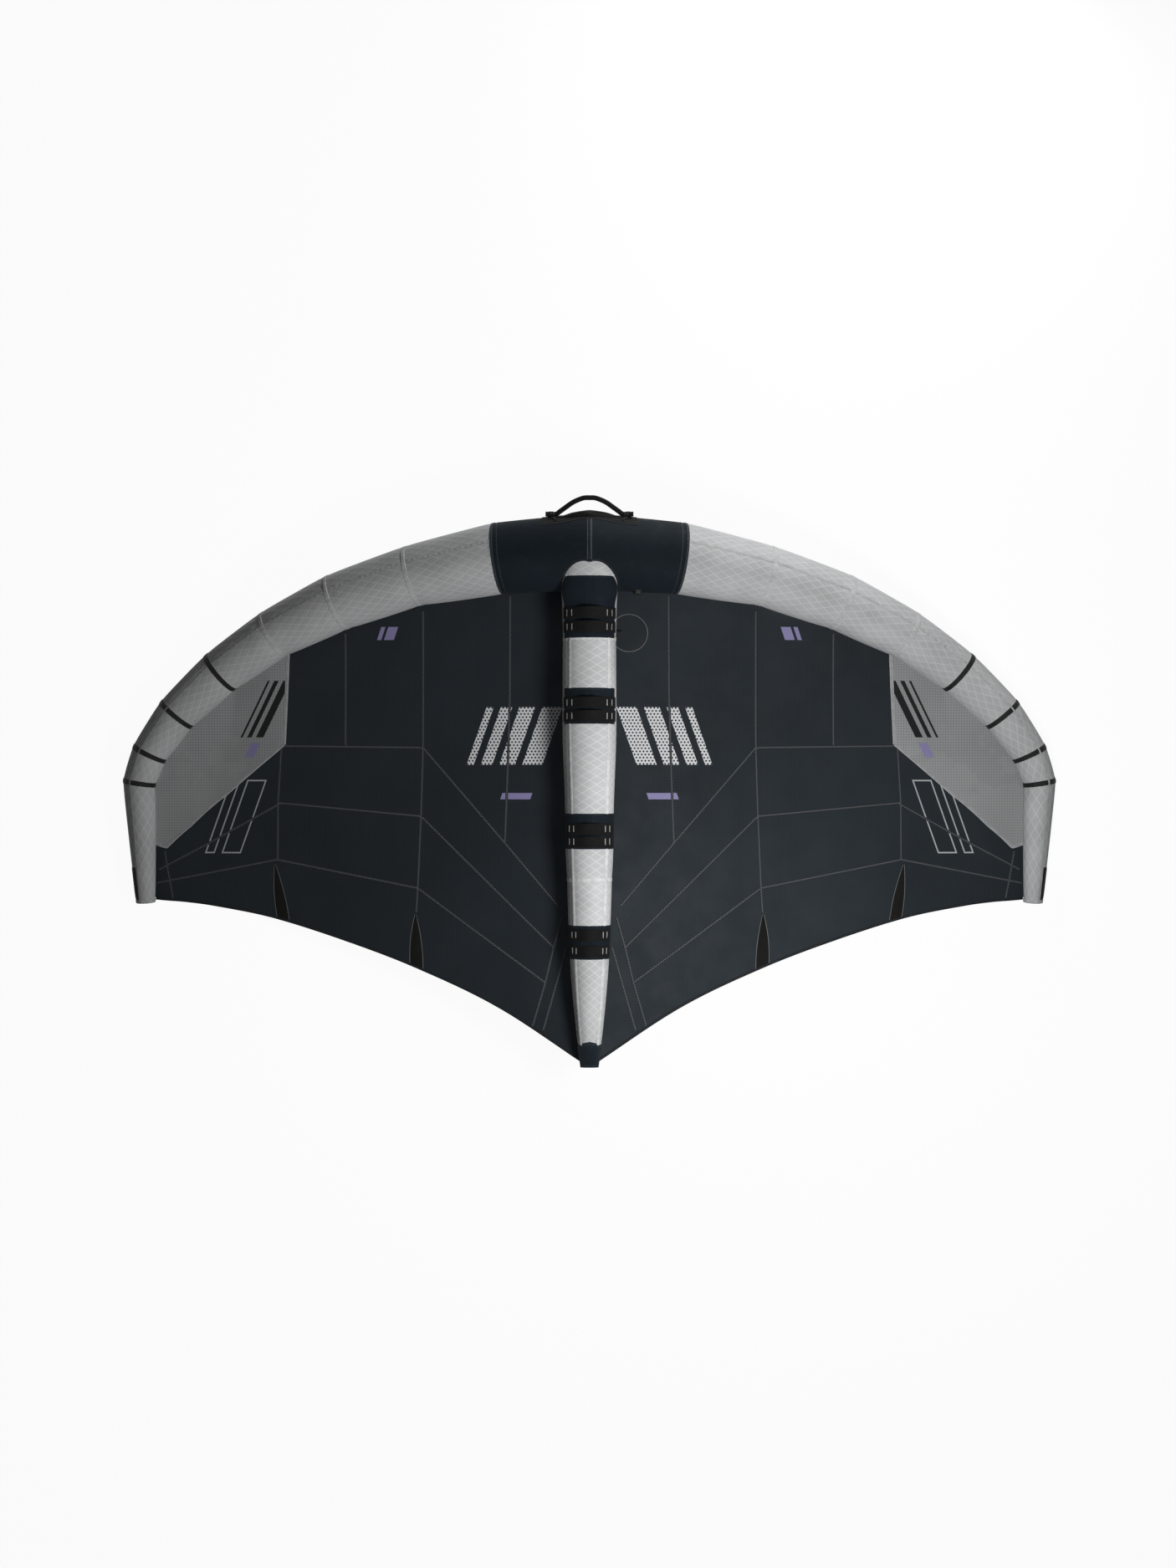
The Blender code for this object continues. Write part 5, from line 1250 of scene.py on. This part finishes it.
def make_pads(strut, meet, paints):
    """Foam pads over the strut, swollen between their sewn edges."""
    for number, (edges, steps) in enumerate(zip(PAD_EDGE_SHARES, PAD_WRAP_STEPS), 1):
        wrap = (steps - 0.5) * STRUT_STEP
        front, rear = (strut.place(share) for share in edges)
        angles = pad_stops(2 * wrap * PAD_ROUND) / PAD_ROUND - wrap
        starts = np.full(len(angles), front)
        if number == 1:
            starts = np.minimum(starts, np.interp(angles, *meet) - 0.011)
        shares = (pad_stops(front - rear) / (front - rear))[:, None]
        ys = lerp(starts[None, :], rear, shares)
        from_ends = np.minimum(starts[None, :] - ys, ys - rear)
        from_sides = (wrap - np.abs(angles))[None, :] * PAD_ROUND
        inside = np.minimum(from_ends, from_sides)
        body = smoothstep(inside, -0.0005, 0.0035) * 0.0017
        channel = 0.0007 * np.exp(-(((inside - 0.007) / 0.0016) ** 2))
        middle = np.cos(np.clip(angles / math.radians(46), -1, 1) * math.pi / 2)[None, :] ** 2
        crown = smoothstep(inside, 0.008, 0.028) * middle
        top = strut.points(ys, angles[None, :], GAP + 0.0003 + body - channel + 0.0014 * crown)
        below = strut.points(ys, angles[None, :], 0.0001)
        places = uv((angles * PAD_ROUND)[None, :], starts - ys)
        shape = Shape()
        shape.pillow(top, below, places)
        pad = piece(f"pad_{number}_cushion", shape, paints.pad,
                    [f"strut_pad_{number}"])
        held = np.ones(shape.count, bool)
        held[: inside.size] = (inside < 0.0088).ravel()
        cap = np.full(shape.count, 0.0001)
        cap[: inside.size] = (0.0002 + 0.0030 * crown).ravel()
        swell(pad, held, cap, 0.006)
        edge = Shape()
        turn = wrap - PAD_STITCH_INSET / PAD_ROUND
        across = np.linspace(-turn, turn, 40)
        ahead = np.interp(across, angles, starts) - PAD_STITCH_INSET
        behind = rear + PAD_STITCH_INSET
        rim = [*zip(ahead, across)]
        rim += [(y, turn) for y in np.linspace(ahead[-1], behind, 24)[1:]]
        rim += [(behind, angle) for angle in across[-2::-1]]
        rim += [(y, -turn) for y in np.linspace(behind, ahead[0], 24)[1:]]
        ribbon(edge, strut.points(*np.transpose(rim), 0.0021), shape.tree(), 0.0028, 0.0005)
        piece(f"pad_{number}_stitching", edge, paints.navy_edge)


def strap_lift(angles):
    free = np.clip(np.abs(angles) / STRAP_FREE_ANGLE, 0.0, 1.0)
    return STRAP_LIFT * np.cos(math.pi / 2 * free) ** 2


def make_straps(strut, paints):
    """Two webbing straps over each pad, with bar tacks at both ends."""
    seat = GAP + PAD_THICKNESS + GAP
    section = strap_section(STRAP_WIDTH, STRAP_THICKNESS)
    bead = [(0.0017 * math.cos(a), 0.0008 * math.sin(a)) for a in np.linspace(math.pi, 0, 7)]
    angles = np.linspace(-STRAP_END_ANGLE, STRAP_END_ANGLE, 81)
    tacks = Shape()
    for number, (edges, shares) in enumerate(zip(PAD_EDGE_SHARES, STRAP_PLACE_SHARES), 1):
        front, rear = (strut.place(share) for share in edges)
        for word, share in zip(("front", "rear"), sorted(shares)):
            y = lerp(front, rear, share)
            line = strut.points(np.full(len(angles), y), angles, seat + strap_lift(angles))
            out = unit(np.cross(ways(line), AHEAD))
            out = out * np.sign(np.sum(out * unit(line * (1, 0, 0) + (0, 0, 0.2)), -1))[:, None]
            lean = np.cos(np.clip(angles / STRAP_FREE_ANGLE, -1, 1) * math.pi / 2)[:, None] ** 2
            tilt = STRAP_TILT if number < len(PAD_EDGE_SHARES) else -STRAP_TILT
            shape = Shape()
            sweep(shape, line, unit(-AHEAD - out * tilt * lean), out, section, flip=True)
            piece(f"strap_{number}_{word}", shape, paints.webbing,
                  [f"pad_{number}_strap_{word}"])
            for angle in np.radians((-52.5, -38.5, 38.5, 52.5)):
                rise = seat + STRAP_THICKNESS + strap_lift(angle)
                line = strut.points(np.linspace(y + 0.0105, y - 0.0105, 29), angle, rise - 0.0001)
                out = np.array((math.sin(angle), 0.0, math.cos(angle)))
                sweep(tacks, line, np.cross(AHEAD, out), out, bead)
    piece("strap_bar_tacks", tacks, paints.tack)


def tip_seam(count):
    """Columns from the grey panel's inner edge to the tip, and the seam's shares at them."""
    outer = np.linspace(GREY_COLUMN, TIP_COLUMN, count)
    return outer, np.interp(outer, range(GREY_COLUMN, TIP_COLUMN + 1), TIP_SEAM_SHARES)


def make_canopy(canopy, paints):
    """The dark canopy as one sheet over both sides, and the grey panels at its tips."""
    seam = TIP_SEAM_SHARES[0]
    before = np.linspace(0.0, seam, 46)
    back = np.linspace(seam, 1.0, 84)
    rows = np.concatenate([before, back[1:]])
    shape, whole = Shape(), Shape()

    def cloth(shapes, shares, columns, edge, flip):
        """Adds a creased part of the canopy, calm at its sewn edges and over the strut."""
        points = canopy.grid(shares, columns)
        x, y = points[..., 0], points[..., 1]
        slow = 0.0016 * np.sin(9.1 * x + 4.3 * y + 0.7) * np.sin(5.2 * y - 3.1 * np.abs(x))
        quick = 0.0007 * np.sin(31.0 * np.abs(x) + 12.0 * y) * np.sin(14.0 * y + 2.0)
        lifted = points[..., 2] + (slow + quick) * smoothstep(np.abs(x), 0.06, 0.16)
        points[..., 2] = lerp(points[..., 2], lifted, edge[:, None])
        for each in shapes:
            each.grid(points, points[..., :2], flip=flip)

    middle = np.linspace(-GREY_COLUMN, GREY_COLUMN, 161)
    edge = smoothstep(rows, 0.0, 0.06) * smoothstep(1 - rows, 0.0, 0.03)
    cloth((shape, whole), rows[:, None], middle, edge, True)
    for side, word in SIDES:
        outer, starts = tip_seam(81)
        shares = starts + (back[:, None] - seam) / (1 - seam) * (1 - starts)
        cloth((shape, whole), shares, side * outer, smoothstep(1 - back, 0.0, 0.03), side > 0)
        tip = Shape()
        shares = before[:, None] / seam * starts
        cloth((tip, whole), shares, side * outer, smoothstep(before, 0.0, 0.06), side > 0)
        panel = piece(f"canopy_grey_panel_{word}", tip, paints.grey,
                      [f"canopy_grey_tip_{word}"])
    nodes = [f"canopy_{part}_{word}" for part in ("inner", "outer", "wingtip")
             for _, word in SIDES]
    sheet = piece("canopy_sheet", shape, paints.canopy, nodes, weld=0.00002)
    return whole.tree()


# Seams of the canopy's left half, as lines of the photograph's pixels; the right half mirrors them
CANOPY_SEAM_LINES = (
    ((413.0, 758), (413.0, 891)),
    ((505.8, 731), (505.8, 893.5), (503.4, 975), (499.5, 1062), (497.7, 1091)),
    ((610.0, 713), (609.6, 831), (607.0, 921), (604.8, 980), (603.6, 1008)),
    ((336.5, 892), (505.8, 894), (603.6, 1008), (667, 1083)),
    ((332.4, 960), (503.4, 976), (662, 1133)),
    ((332.0, 1028), (499.5, 1062), (652, 1175)),
    ((336.5, 892), (332.4, 960), (332.0, 1028)),
    ((672, 1097), (662, 1133), (652, 1175), (639, 1230)),
    ((677.5, 1133), (649.5, 1232)),
    ((190.5, 1039.6), (252, 1007), (336.5, 960)),
    ((188.0, 1055.7), (331.5, 1028)),
    ((197.0, 1018), (201.0, 1042), (207.0, 1074)),
)


def make_canopy_seams(canopy, tree, paints):
    """The sewn seams of the canopy, with their stitches."""
    points = [np.array([seen(tree, x, y) for x, y in pixels]) for pixels in CANOPY_SEAM_LINES]
    for side, word in SIDES:
        shape, edges = Shape(), Shape()
        for line in points:
            line = dropped(tree, resample(mirrored(line, -side), 0.016))
            ribbon(shape, line, tree, 0.0095, 0.0006)
        piece(f"canopy_seams_{word}", shape, paints.canopy_seam)
        outer, starts = tip_seam(60)
        inner = np.linspace(0.012, TIP_SEAM_SHARES[0], 40)
        for columns, shares, width in ((outer[:-1], starts[:-1], 0.010),
                                       (np.full(40, GREY_COLUMN), inner, 0.013)):
            line = [canopy.grid(np.array([[share]]), np.array([side * float(column)]))[0, 0]
                    for column, share in zip(columns, shares)]
            ribbon(edges, line, tree, width, 0.0008)
        piece(f"grey_panel_seams_{word}", edges, paints.grey_seam)


def make_hems(canopy, paints):
    """The folded hem along each half of the trailing edge, with its row of stitches."""
    last = TIP_COLUMN - 1.0
    places = [np.linspace(0.001, last, 160), np.linspace(last, last + HEM_END_SHARE, 20)[1:]]
    places = np.concatenate(places)
    for side, word in SIDES:
        line = canopy.grid(np.ones((1, len(places))), side * places)[0]
        back = unit(np.cross(ways(line), UP) * side)
        middle = line + back * (HEM_WIDTH / 2 - 0.001) - UP * CANOPY_THICKNESS
        shape = Shape()
        section = strap_section(HEM_WIDTH + 0.002, HEM_THICKNESS, 3)
        sweep(shape, middle, back, UP, section, flip=side > 0)
        piece(f"hem_{word}", shape, paints.hem, [f"trailing_edge_hem_{word}"])


# Battens: the pixels of each pocket's point and of its two corners at the trailing edge
POCKET_PIXELS = (
    ("inner", (497.0, 1093.5), (488.0, 1155.5), (504.8, 1161.5)),
    ("outer", (329.0, 1034.0), (321.0, 1096.0), (337.0, 1100.0)),
)


def make_pockets(tree, paints):
    """The dark pointed pockets with their battens, and their stitched outlines."""
    shares = np.linspace(0.0, 1.0, 30)
    across = np.linspace(-1.0, 1.0, 13)
    ridge = 0.0013 + 0.0012 * np.clip(1 - (across / 0.55) ** 2, 0, 1)
    ridge = ridge * smoothstep(1 - np.abs(across), 0.0, 0.12) + 0.0004
    for name, *pixels in POCKET_PIXELS:
        tip, outer, inner = (seen(tree, x, y) for x, y in pixels)
        wide = np.linalg.norm(outer - inner) / 2 * across
        places = uv(wide[None, :], (np.linalg.norm(outer - tip) * shares)[:, None])
        for side, word in SIDES:
            shape, sewn, rows = Shape(), Shape(), []
            for share in shares:
                width = math.sin(math.pi / 2 * min(1.0, share * 1.1 + 0.04)) ** 0.9
                middle = (lerp(tip, outer, share) + lerp(tip, inner, share)) / 2
                half = (outer - inner) / 2 * width
                row = dropped(tree, [mirrored(middle + half * a, -side) for a in across])
                rows.append(row + ridge[:, None] * UP)
            rows = np.array(rows)
            shape.grid(rows, places, flip=side > 0)
            piece(f"pocket_{name}_{word}", shape, paints.pocket,
                  [f"batten_{name}_{word}"])
            for edge in (rows[:, 0], rows[:, -1]):
                ribbon(sewn, edge, tree, 0.0030, 0.0012)
            piece(f"pocket_{name}_stitching_{word}", sewn, paints.outline)


def make_center_details(tube, sleeves, paints):
    """The centre panel's double seam, and a second row of stitches inside its edges."""
    shape = Shape()
    angles = np.linspace(math.radians(28), math.radians(146), 60)
    line = np.array([tube.point(0, 0.0, a, 0.001) for a in angles])
    ribbon(shape, line, sleeves, 0.020, 0.0008)
    piece("center_seam", shape, paints.navy_seam)
    across, rises = raised(0.0038, 0.0005, (1.0, 0.02), (0.6, 1.0))
    rows = []
    for along, rise in zip(across, rises):
        share = 1 - tube.share_of(0, 0.017) + tube.share_of(0, along)
        offset = sleeve_offset(tube, 0, share, BAND_ANGLES, 0.0) + 0.0002 + rise
        rows.append(tube.points(0, share, BAND_ANGLES, offset)[0])
    places = uv(across[:, None], (BAND_ANGLES * TUBE_RADIUS)[None, :])
    for side, word in SIDES:
        row = Shape()
        row.grid(mirrored(np.array(rows), side), places, flip=side > 0)
        piece(f"center_panel_stitching_{word}", row, paints.navy_edge)


def make_handle(tube, paints):
    """The front handle: its webbing-covered tube, base, keepers and knuckle pad."""
    swing = next(joint for joint in frame["joints"] if joint["name"] == "front_handle_swing")
    hinge = np.array(swing["pos_m"])
    line = [(HANDLE_FOOT_OUTER, 0.0), (HANDLE_FOOT_INNER, 0.0)]
    for reach, rise in zip(HANDLE_REACH_SHARES, HANDLE_RISE_SHARES):
        line.append((HANDLE_FOOT_INNER * reach, HANDLE_RISE * rise))
    line += [(-reach, rise) for reach, rise in reversed(line[:-1])]
    forward = np.array((0.0, math.cos(HANDLE_ELEVATION), math.sin(HANDLE_ELEVATION)))
    knots = np.array([hinge + OUTBOARD * reach + forward * rise for reach, rise in line])
    padded = np.vstack([2 * knots[0] - knots[1], knots, 2 * knots[-1] - knots[-2]])
    path = [spline(*four, t) for four in zip(padded, padded[1:], padded[2:], padded[3:])
            for t in np.linspace(0, 1, 12, endpoint=False)]
    path = resample([*path, knots[-1]], 0.003)
    way = ways(path)
    side = unit(np.cross(way, np.cross(OUTBOARD, forward)))
    out = np.cross(side, way)
    circle = [(HANDLE_RADIUS * math.cos(a), HANDLE_RADIUS * math.sin(a))
              for a in np.linspace(0, 2 * math.pi, 28, endpoint=False)]
    shape = Shape()
    sweep(shape, path, side, out, circle)
    piece("handle_tube", shape, paints.handle, ["handle_grip"], "front_handle")
    base = Shape()
    reaches = np.linspace(-BASE_REACH, BASE_REACH, 101)
    rows = []
    for reach in reaches:
        share = abs(reach) / tube.centre[1][0]
        rear = (8 - BASE_SPREAD * smoothstep(abs(reach), 0.0, HANDLE_FOOT_INNER)) * TUBE_STEP
        angles = np.linspace(rear, 10 * TUBE_STEP, 25)
        near = np.minimum(np.clip((BASE_REACH - abs(reach)) / 0.002, 0, 1),
                          np.clip(np.minimum(angles - rear, angles[-1] - angles) / 0.016, 0, 1))
        offset = sleeve_offset(tube, 0, share, angles, 0.0) + 0.0002
        offset = offset + (BASE_CLEARANCE + BASE_THICKNESS - 0.0008) * smoothstep(near, -0.05, 0.9)
        rows.append(tube.points(0, share, angles, offset)[0] * (MIRROR if reach < 0 else 1))
    across = np.linspace(0.0, 2 * TUBE_STEP * TUBE_RADIUS, 25)
    places = uv(across[None, :], reaches[:, None])
    base.grid(np.array(rows), places, flip=True)
    piece("handle_base_strip", base, paints.base, ["handle_base"])
    make_keepers(tube, paints)
    make_knuckle_pad(tube, paints)


def make_keepers(tube, paints):
    """Two slanting webbing tabs that hold the handle's feet on its base."""
    seat = BASE_CLEARANCE + BASE_THICKNESS + GAP
    spoke = unit(tube.point(0, 0.0, 9 * TUBE_STEP, 0.01) - tube.point(0, 0.0, 9 * TUBE_STEP))
    tangent = unit(np.cross(OUTBOARD, spoke))
    bend = HANDLE_RADIUS + GAP + KEEPER_THICKNESS / 2
    over = np.linspace(math.radians(205), math.radians(-25), 40)
    path = [(-0.020, 0.0010), (-0.014, 0.0016)]
    path += [(bend * math.cos(a), HANDLE_RADIUS + bend * math.sin(a)) for a in over]
    path += [(0.015, 0.0016), (0.026, 0.0012), (0.036, 0.0010)]
    path = resample(path, 0.0015)
    right = []
    for back, rise in path:
        reach = KEEPER_REACH - KEEPER_SLANT * back
        ground = tube.point(0, reach / tube.centre[1][0], 9 * TUBE_STEP, seat)
        drop = back * back / (2 * TUBE_RADIUS)
        right.append(ground + tangent * back + spoke * (rise - drop))
    for side, word in SIDES:
        line = mirrored(np.array(right), side)
        way = ways(line)
        across = unit(OUTBOARD - way * (way @ OUTBOARD)[:, None])
        out = np.cross(across, way)
        out = out * np.sign(np.sum(out * spoke + 1e-6 * out, -1))[:, None]
        shape = Shape()
        sweep(shape, line, across, out, strap_section(KEEPER_WIDTH, KEEPER_THICKNESS, 3))
        piece(f"handle_tab_{word}", shape, paints.keeper)


def make_knuckle_pad(tube, paints):
    """The pad that keeps the knuckles off the tube."""
    shape = Shape()
    reaches = np.linspace(-KNUCKLE_REACH, KNUCKLE_REACH, 61)
    across = np.linspace(-1.0, 1.0, 21)
    top, bottom = [], []
    seat = BASE_CLEARANCE + BASE_THICKNESS + GAP
    for reach in reaches:
        share = abs(reach) / tube.centre[1][0]
        part = reach / KNUCKLE_REACH
        width = 0.62 * TUBE_STEP * math.sqrt(max(0.0, 1 - abs(part) ** 5)) + 0.004
        angles = 9 * TUBE_STEP + across * width
        crown = lerp(KNUCKLE_HEIGHT - 0.0015, 0.004, part**2) * (1 - abs(part) ** 8)
        height = crown * np.sqrt(np.clip(1 - np.abs(across) ** 2.6, 0, 1))
        mirror = MIRROR if reach < 0 else 1
        top.append(tube.points(0, share, angles, seat + height)[0] * mirror)
        bottom.append(tube.points(0, share, angles, seat)[0] * mirror)
    places = uv((across * 0.022)[None, :], reaches[:, None])
    shape.pillow(np.array(top), np.array(bottom), places, flip=True)
    pad = piece("knuckle_cushion", shape, paints.pocket, ["handle_knuckle_pad"])
    held = np.ones((len(reaches), len(across)), bool)
    held[2:-2, 2:-2] = False
    free = np.zeros(shape.count, bool)
    free[: held.size] = ~held.ravel()
    swell(pad, ~free, np.where(free, 0.0016, 0.0001), 0.01)


def make_badge(tree, paints):
    """A round patch on the canopy beside the strut, with a ring of stitches."""
    middle = seen(tree, 752.0, 757.0)
    edge = seen(tree, 774.5, 757.0)
    radius = np.linalg.norm(edge - middle)
    shape, ring = Shape(), Shape()
    angles = np.linspace(0, 2 * math.pi, 73)
    round_it = radius * np.stack([np.cos(angles), np.sin(angles), 0 * angles], 1)
    rows = np.array([dropped(tree, middle + round_it[:-1] * share) + UP * rise for share, rise in
                     ((0.5, 0.0009), (0.9, 0.0009), (0.985, 0.0008), (1.0, 0.0001))])
    places = np.concatenate([rows, rows[:, :1]], 1)[..., :2] - middle[:2]
    shape.grid(rows, places, wrap=True)
    shape.lid(rows[0], flip=True)
    piece("canopy_round_patch", shape, paints.patch)
    ribbon(ring, dropped(tree, middle + round_it * 0.97), tree, 0.0042, 0.0014)
    piece("canopy_round_patch_stitching", ring, paints.outline)


def make_pull_tab(paints):
    """A folded webbing tab on the strut's right side."""
    low, high = (np.array(corner, float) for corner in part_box("strut_pull_tab"))
    _, y, z = (low + high) / 2
    bend = 0.0009
    turns = np.linspace(-math.pi / 2, math.pi / 2, 14)
    fold = [(high[0] - 0.0016 + bend * math.cos(a), y, z + bend * math.sin(a)) for a in turns]
    line = resample([(low[0], y, z - bend), *fold, (low[0], y, z + bend)], 0.0006)
    shape = Shape()
    sweep(shape, line, AHEAD, np.cross(ways(line), AHEAD), strap_section(0.008, 0.0008, 2))
    piece("strut_tab", shape, paints.webbing, ["strut_pull_tab"])


def paint_nodes(paints):
    """The valve and the hose keep their CAD shape and get a moulded finish."""
    for name in ("valve_body", "valve_cap", "valve_poppet", "air_hose"):
        for slot in frame["nodes"][name].material_slots:
            slot.material = paints.plastic


def joined(tree, kind, inputs, operation=None):
    """Adds a shader node, with a value or a link for each of its inputs, and gives its output."""
    node = tree.nodes.new("ShaderNode" + kind)
    if operation:
        node.operation = operation
    for key, value in inputs.items():
        feed(tree.links, node.inputs[key], value)
    return node.outputs[0]


def seen_directly(tree):
    """One for a ray that comes from the camera, also off a shiny or through a clear surface."""
    path = tree.nodes.new("ShaderNodeLightPath").outputs
    shiny = joined(tree, "Math", {0: path["Is Camera Ray"], 1: path["Is Glossy Ray"]}, "MAXIMUM")
    return joined(tree, "Math", {0: shiny, 1: path["Is Transmission Ray"]}, "MAXIMUM")


def make_stage():
    """A pale floor that shows as white and keeps the object's shadow."""
    mesh = bpy.data.meshes.new("floor")
    corners = [(x * FLOOR_HALF, y * FLOOR_HALF, 0) for x, y in ((-1, -1), (1, -1), (1, 1), (-1, 1))]
    mesh.from_pydata(corners, [], [(0, 1, 2, 3)])
    floor = link("floor", mesh)
    paint = bpy.data.materials.new("floor_white")
    paint.use_nodes = True
    tree = paint.node_tree
    tree.nodes.remove(tree.nodes["Principled BSDF"])
    direct = seen_directly(tree)
    share = joined(tree, "Math", {0: direct, 1: FLOOR_GLOW}, "MULTIPLY")
    glow = joined(tree, "Emission", {"Strength": 1.0})
    tone = joined(tree, "MapRange", {0: direct, 3: FLOOR_TONE, 4: 1.0})
    cloth = joined(tree, "BsdfDiffuse", {"Color": tone})
    mixed = joined(tree, "MixShader", {0: share, 1: cloth, 2: glow})
    tree.links.new(mixed, tree.nodes["Material Output"].inputs["Surface"])
    mesh.materials.append(paint)


def make_lights():
    """A white surround that the camera sees, dim as a light, and the lamps."""
    world = bpy.data.worlds.new("studio")
    bpy.context.scene.world = world
    world.use_nodes = True
    tree = world.node_tree
    back = tree.nodes["Background"].inputs
    back["Color"].default_value = (1.0, 1.0, 1.0, 1.0)
    tone = joined(tree, "MapRange", {0: seen_directly(tree), 3: FILL_STRENGTH, 4: 1.0})
    tree.links.new(tone, back["Strength"])
    for name, place, width, power in LAMPS:
        light = bpy.data.lights.new(name, "AREA")
        light.shape = "DISK"
        light.size = width
        light.energy = power
        lamp = link(name, light)
        lamp.location = place
        way = Vector(LAMP_TARGET) - lamp.location
        lamp.rotation_euler = way.to_track_quat("-Z", "Y").to_euler()
        lamp.visible_camera = False


def make_camera():
    """Straight above the wing, with the strut along the picture's height."""
    lens = bpy.data.cameras.new("camera")
    lens.sensor_fit = "VERTICAL"
    lens.sensor_height = SENSOR_HEIGHT
    lens.lens = FOCAL_PIXELS / PHOTO_HEIGHT * SENSOR_HEIGHT
    lens.clip_end = 60.0
    camera = link("camera", lens)
    camera.location = CAMERA_PLACE
    bpy.context.scene.camera = camera


def main():
    bpy.context.scene.view_settings.view_transform = "Standard"
    tube = Tube()
    strut = Strut(tube)
    canopy = Canopy(tube, strut)
    paints = Paints()
    sleeves = make_sleeves(tube, paints)
    make_bands(tube, paints)
    make_length_seams(tube, paints)
    make_tip_ends(tube, paints)
    make_bladders(tube, strut, paints)
    meet = make_strut(strut, sleeves, paints)
    make_strut_seams(strut, np.interp(SEAM_ANGLE, *meet), paints)
    make_tail_cap(strut, paints)
    make_pads(strut, meet, paints)
    make_straps(strut, paints)
    cloth = make_canopy(canopy, paints)
    make_canopy_seams(canopy, cloth, paints)
    make_hems(canopy, paints)
    make_pockets(cloth, paints)
    make_center_details(tube, sleeves, paints)
    make_handle(tube, paints)
    make_badge(cloth, paints)
    make_pull_tab(paints)
    paint_nodes(paints)
    make_stage()
    make_lights()
    make_camera()


main()
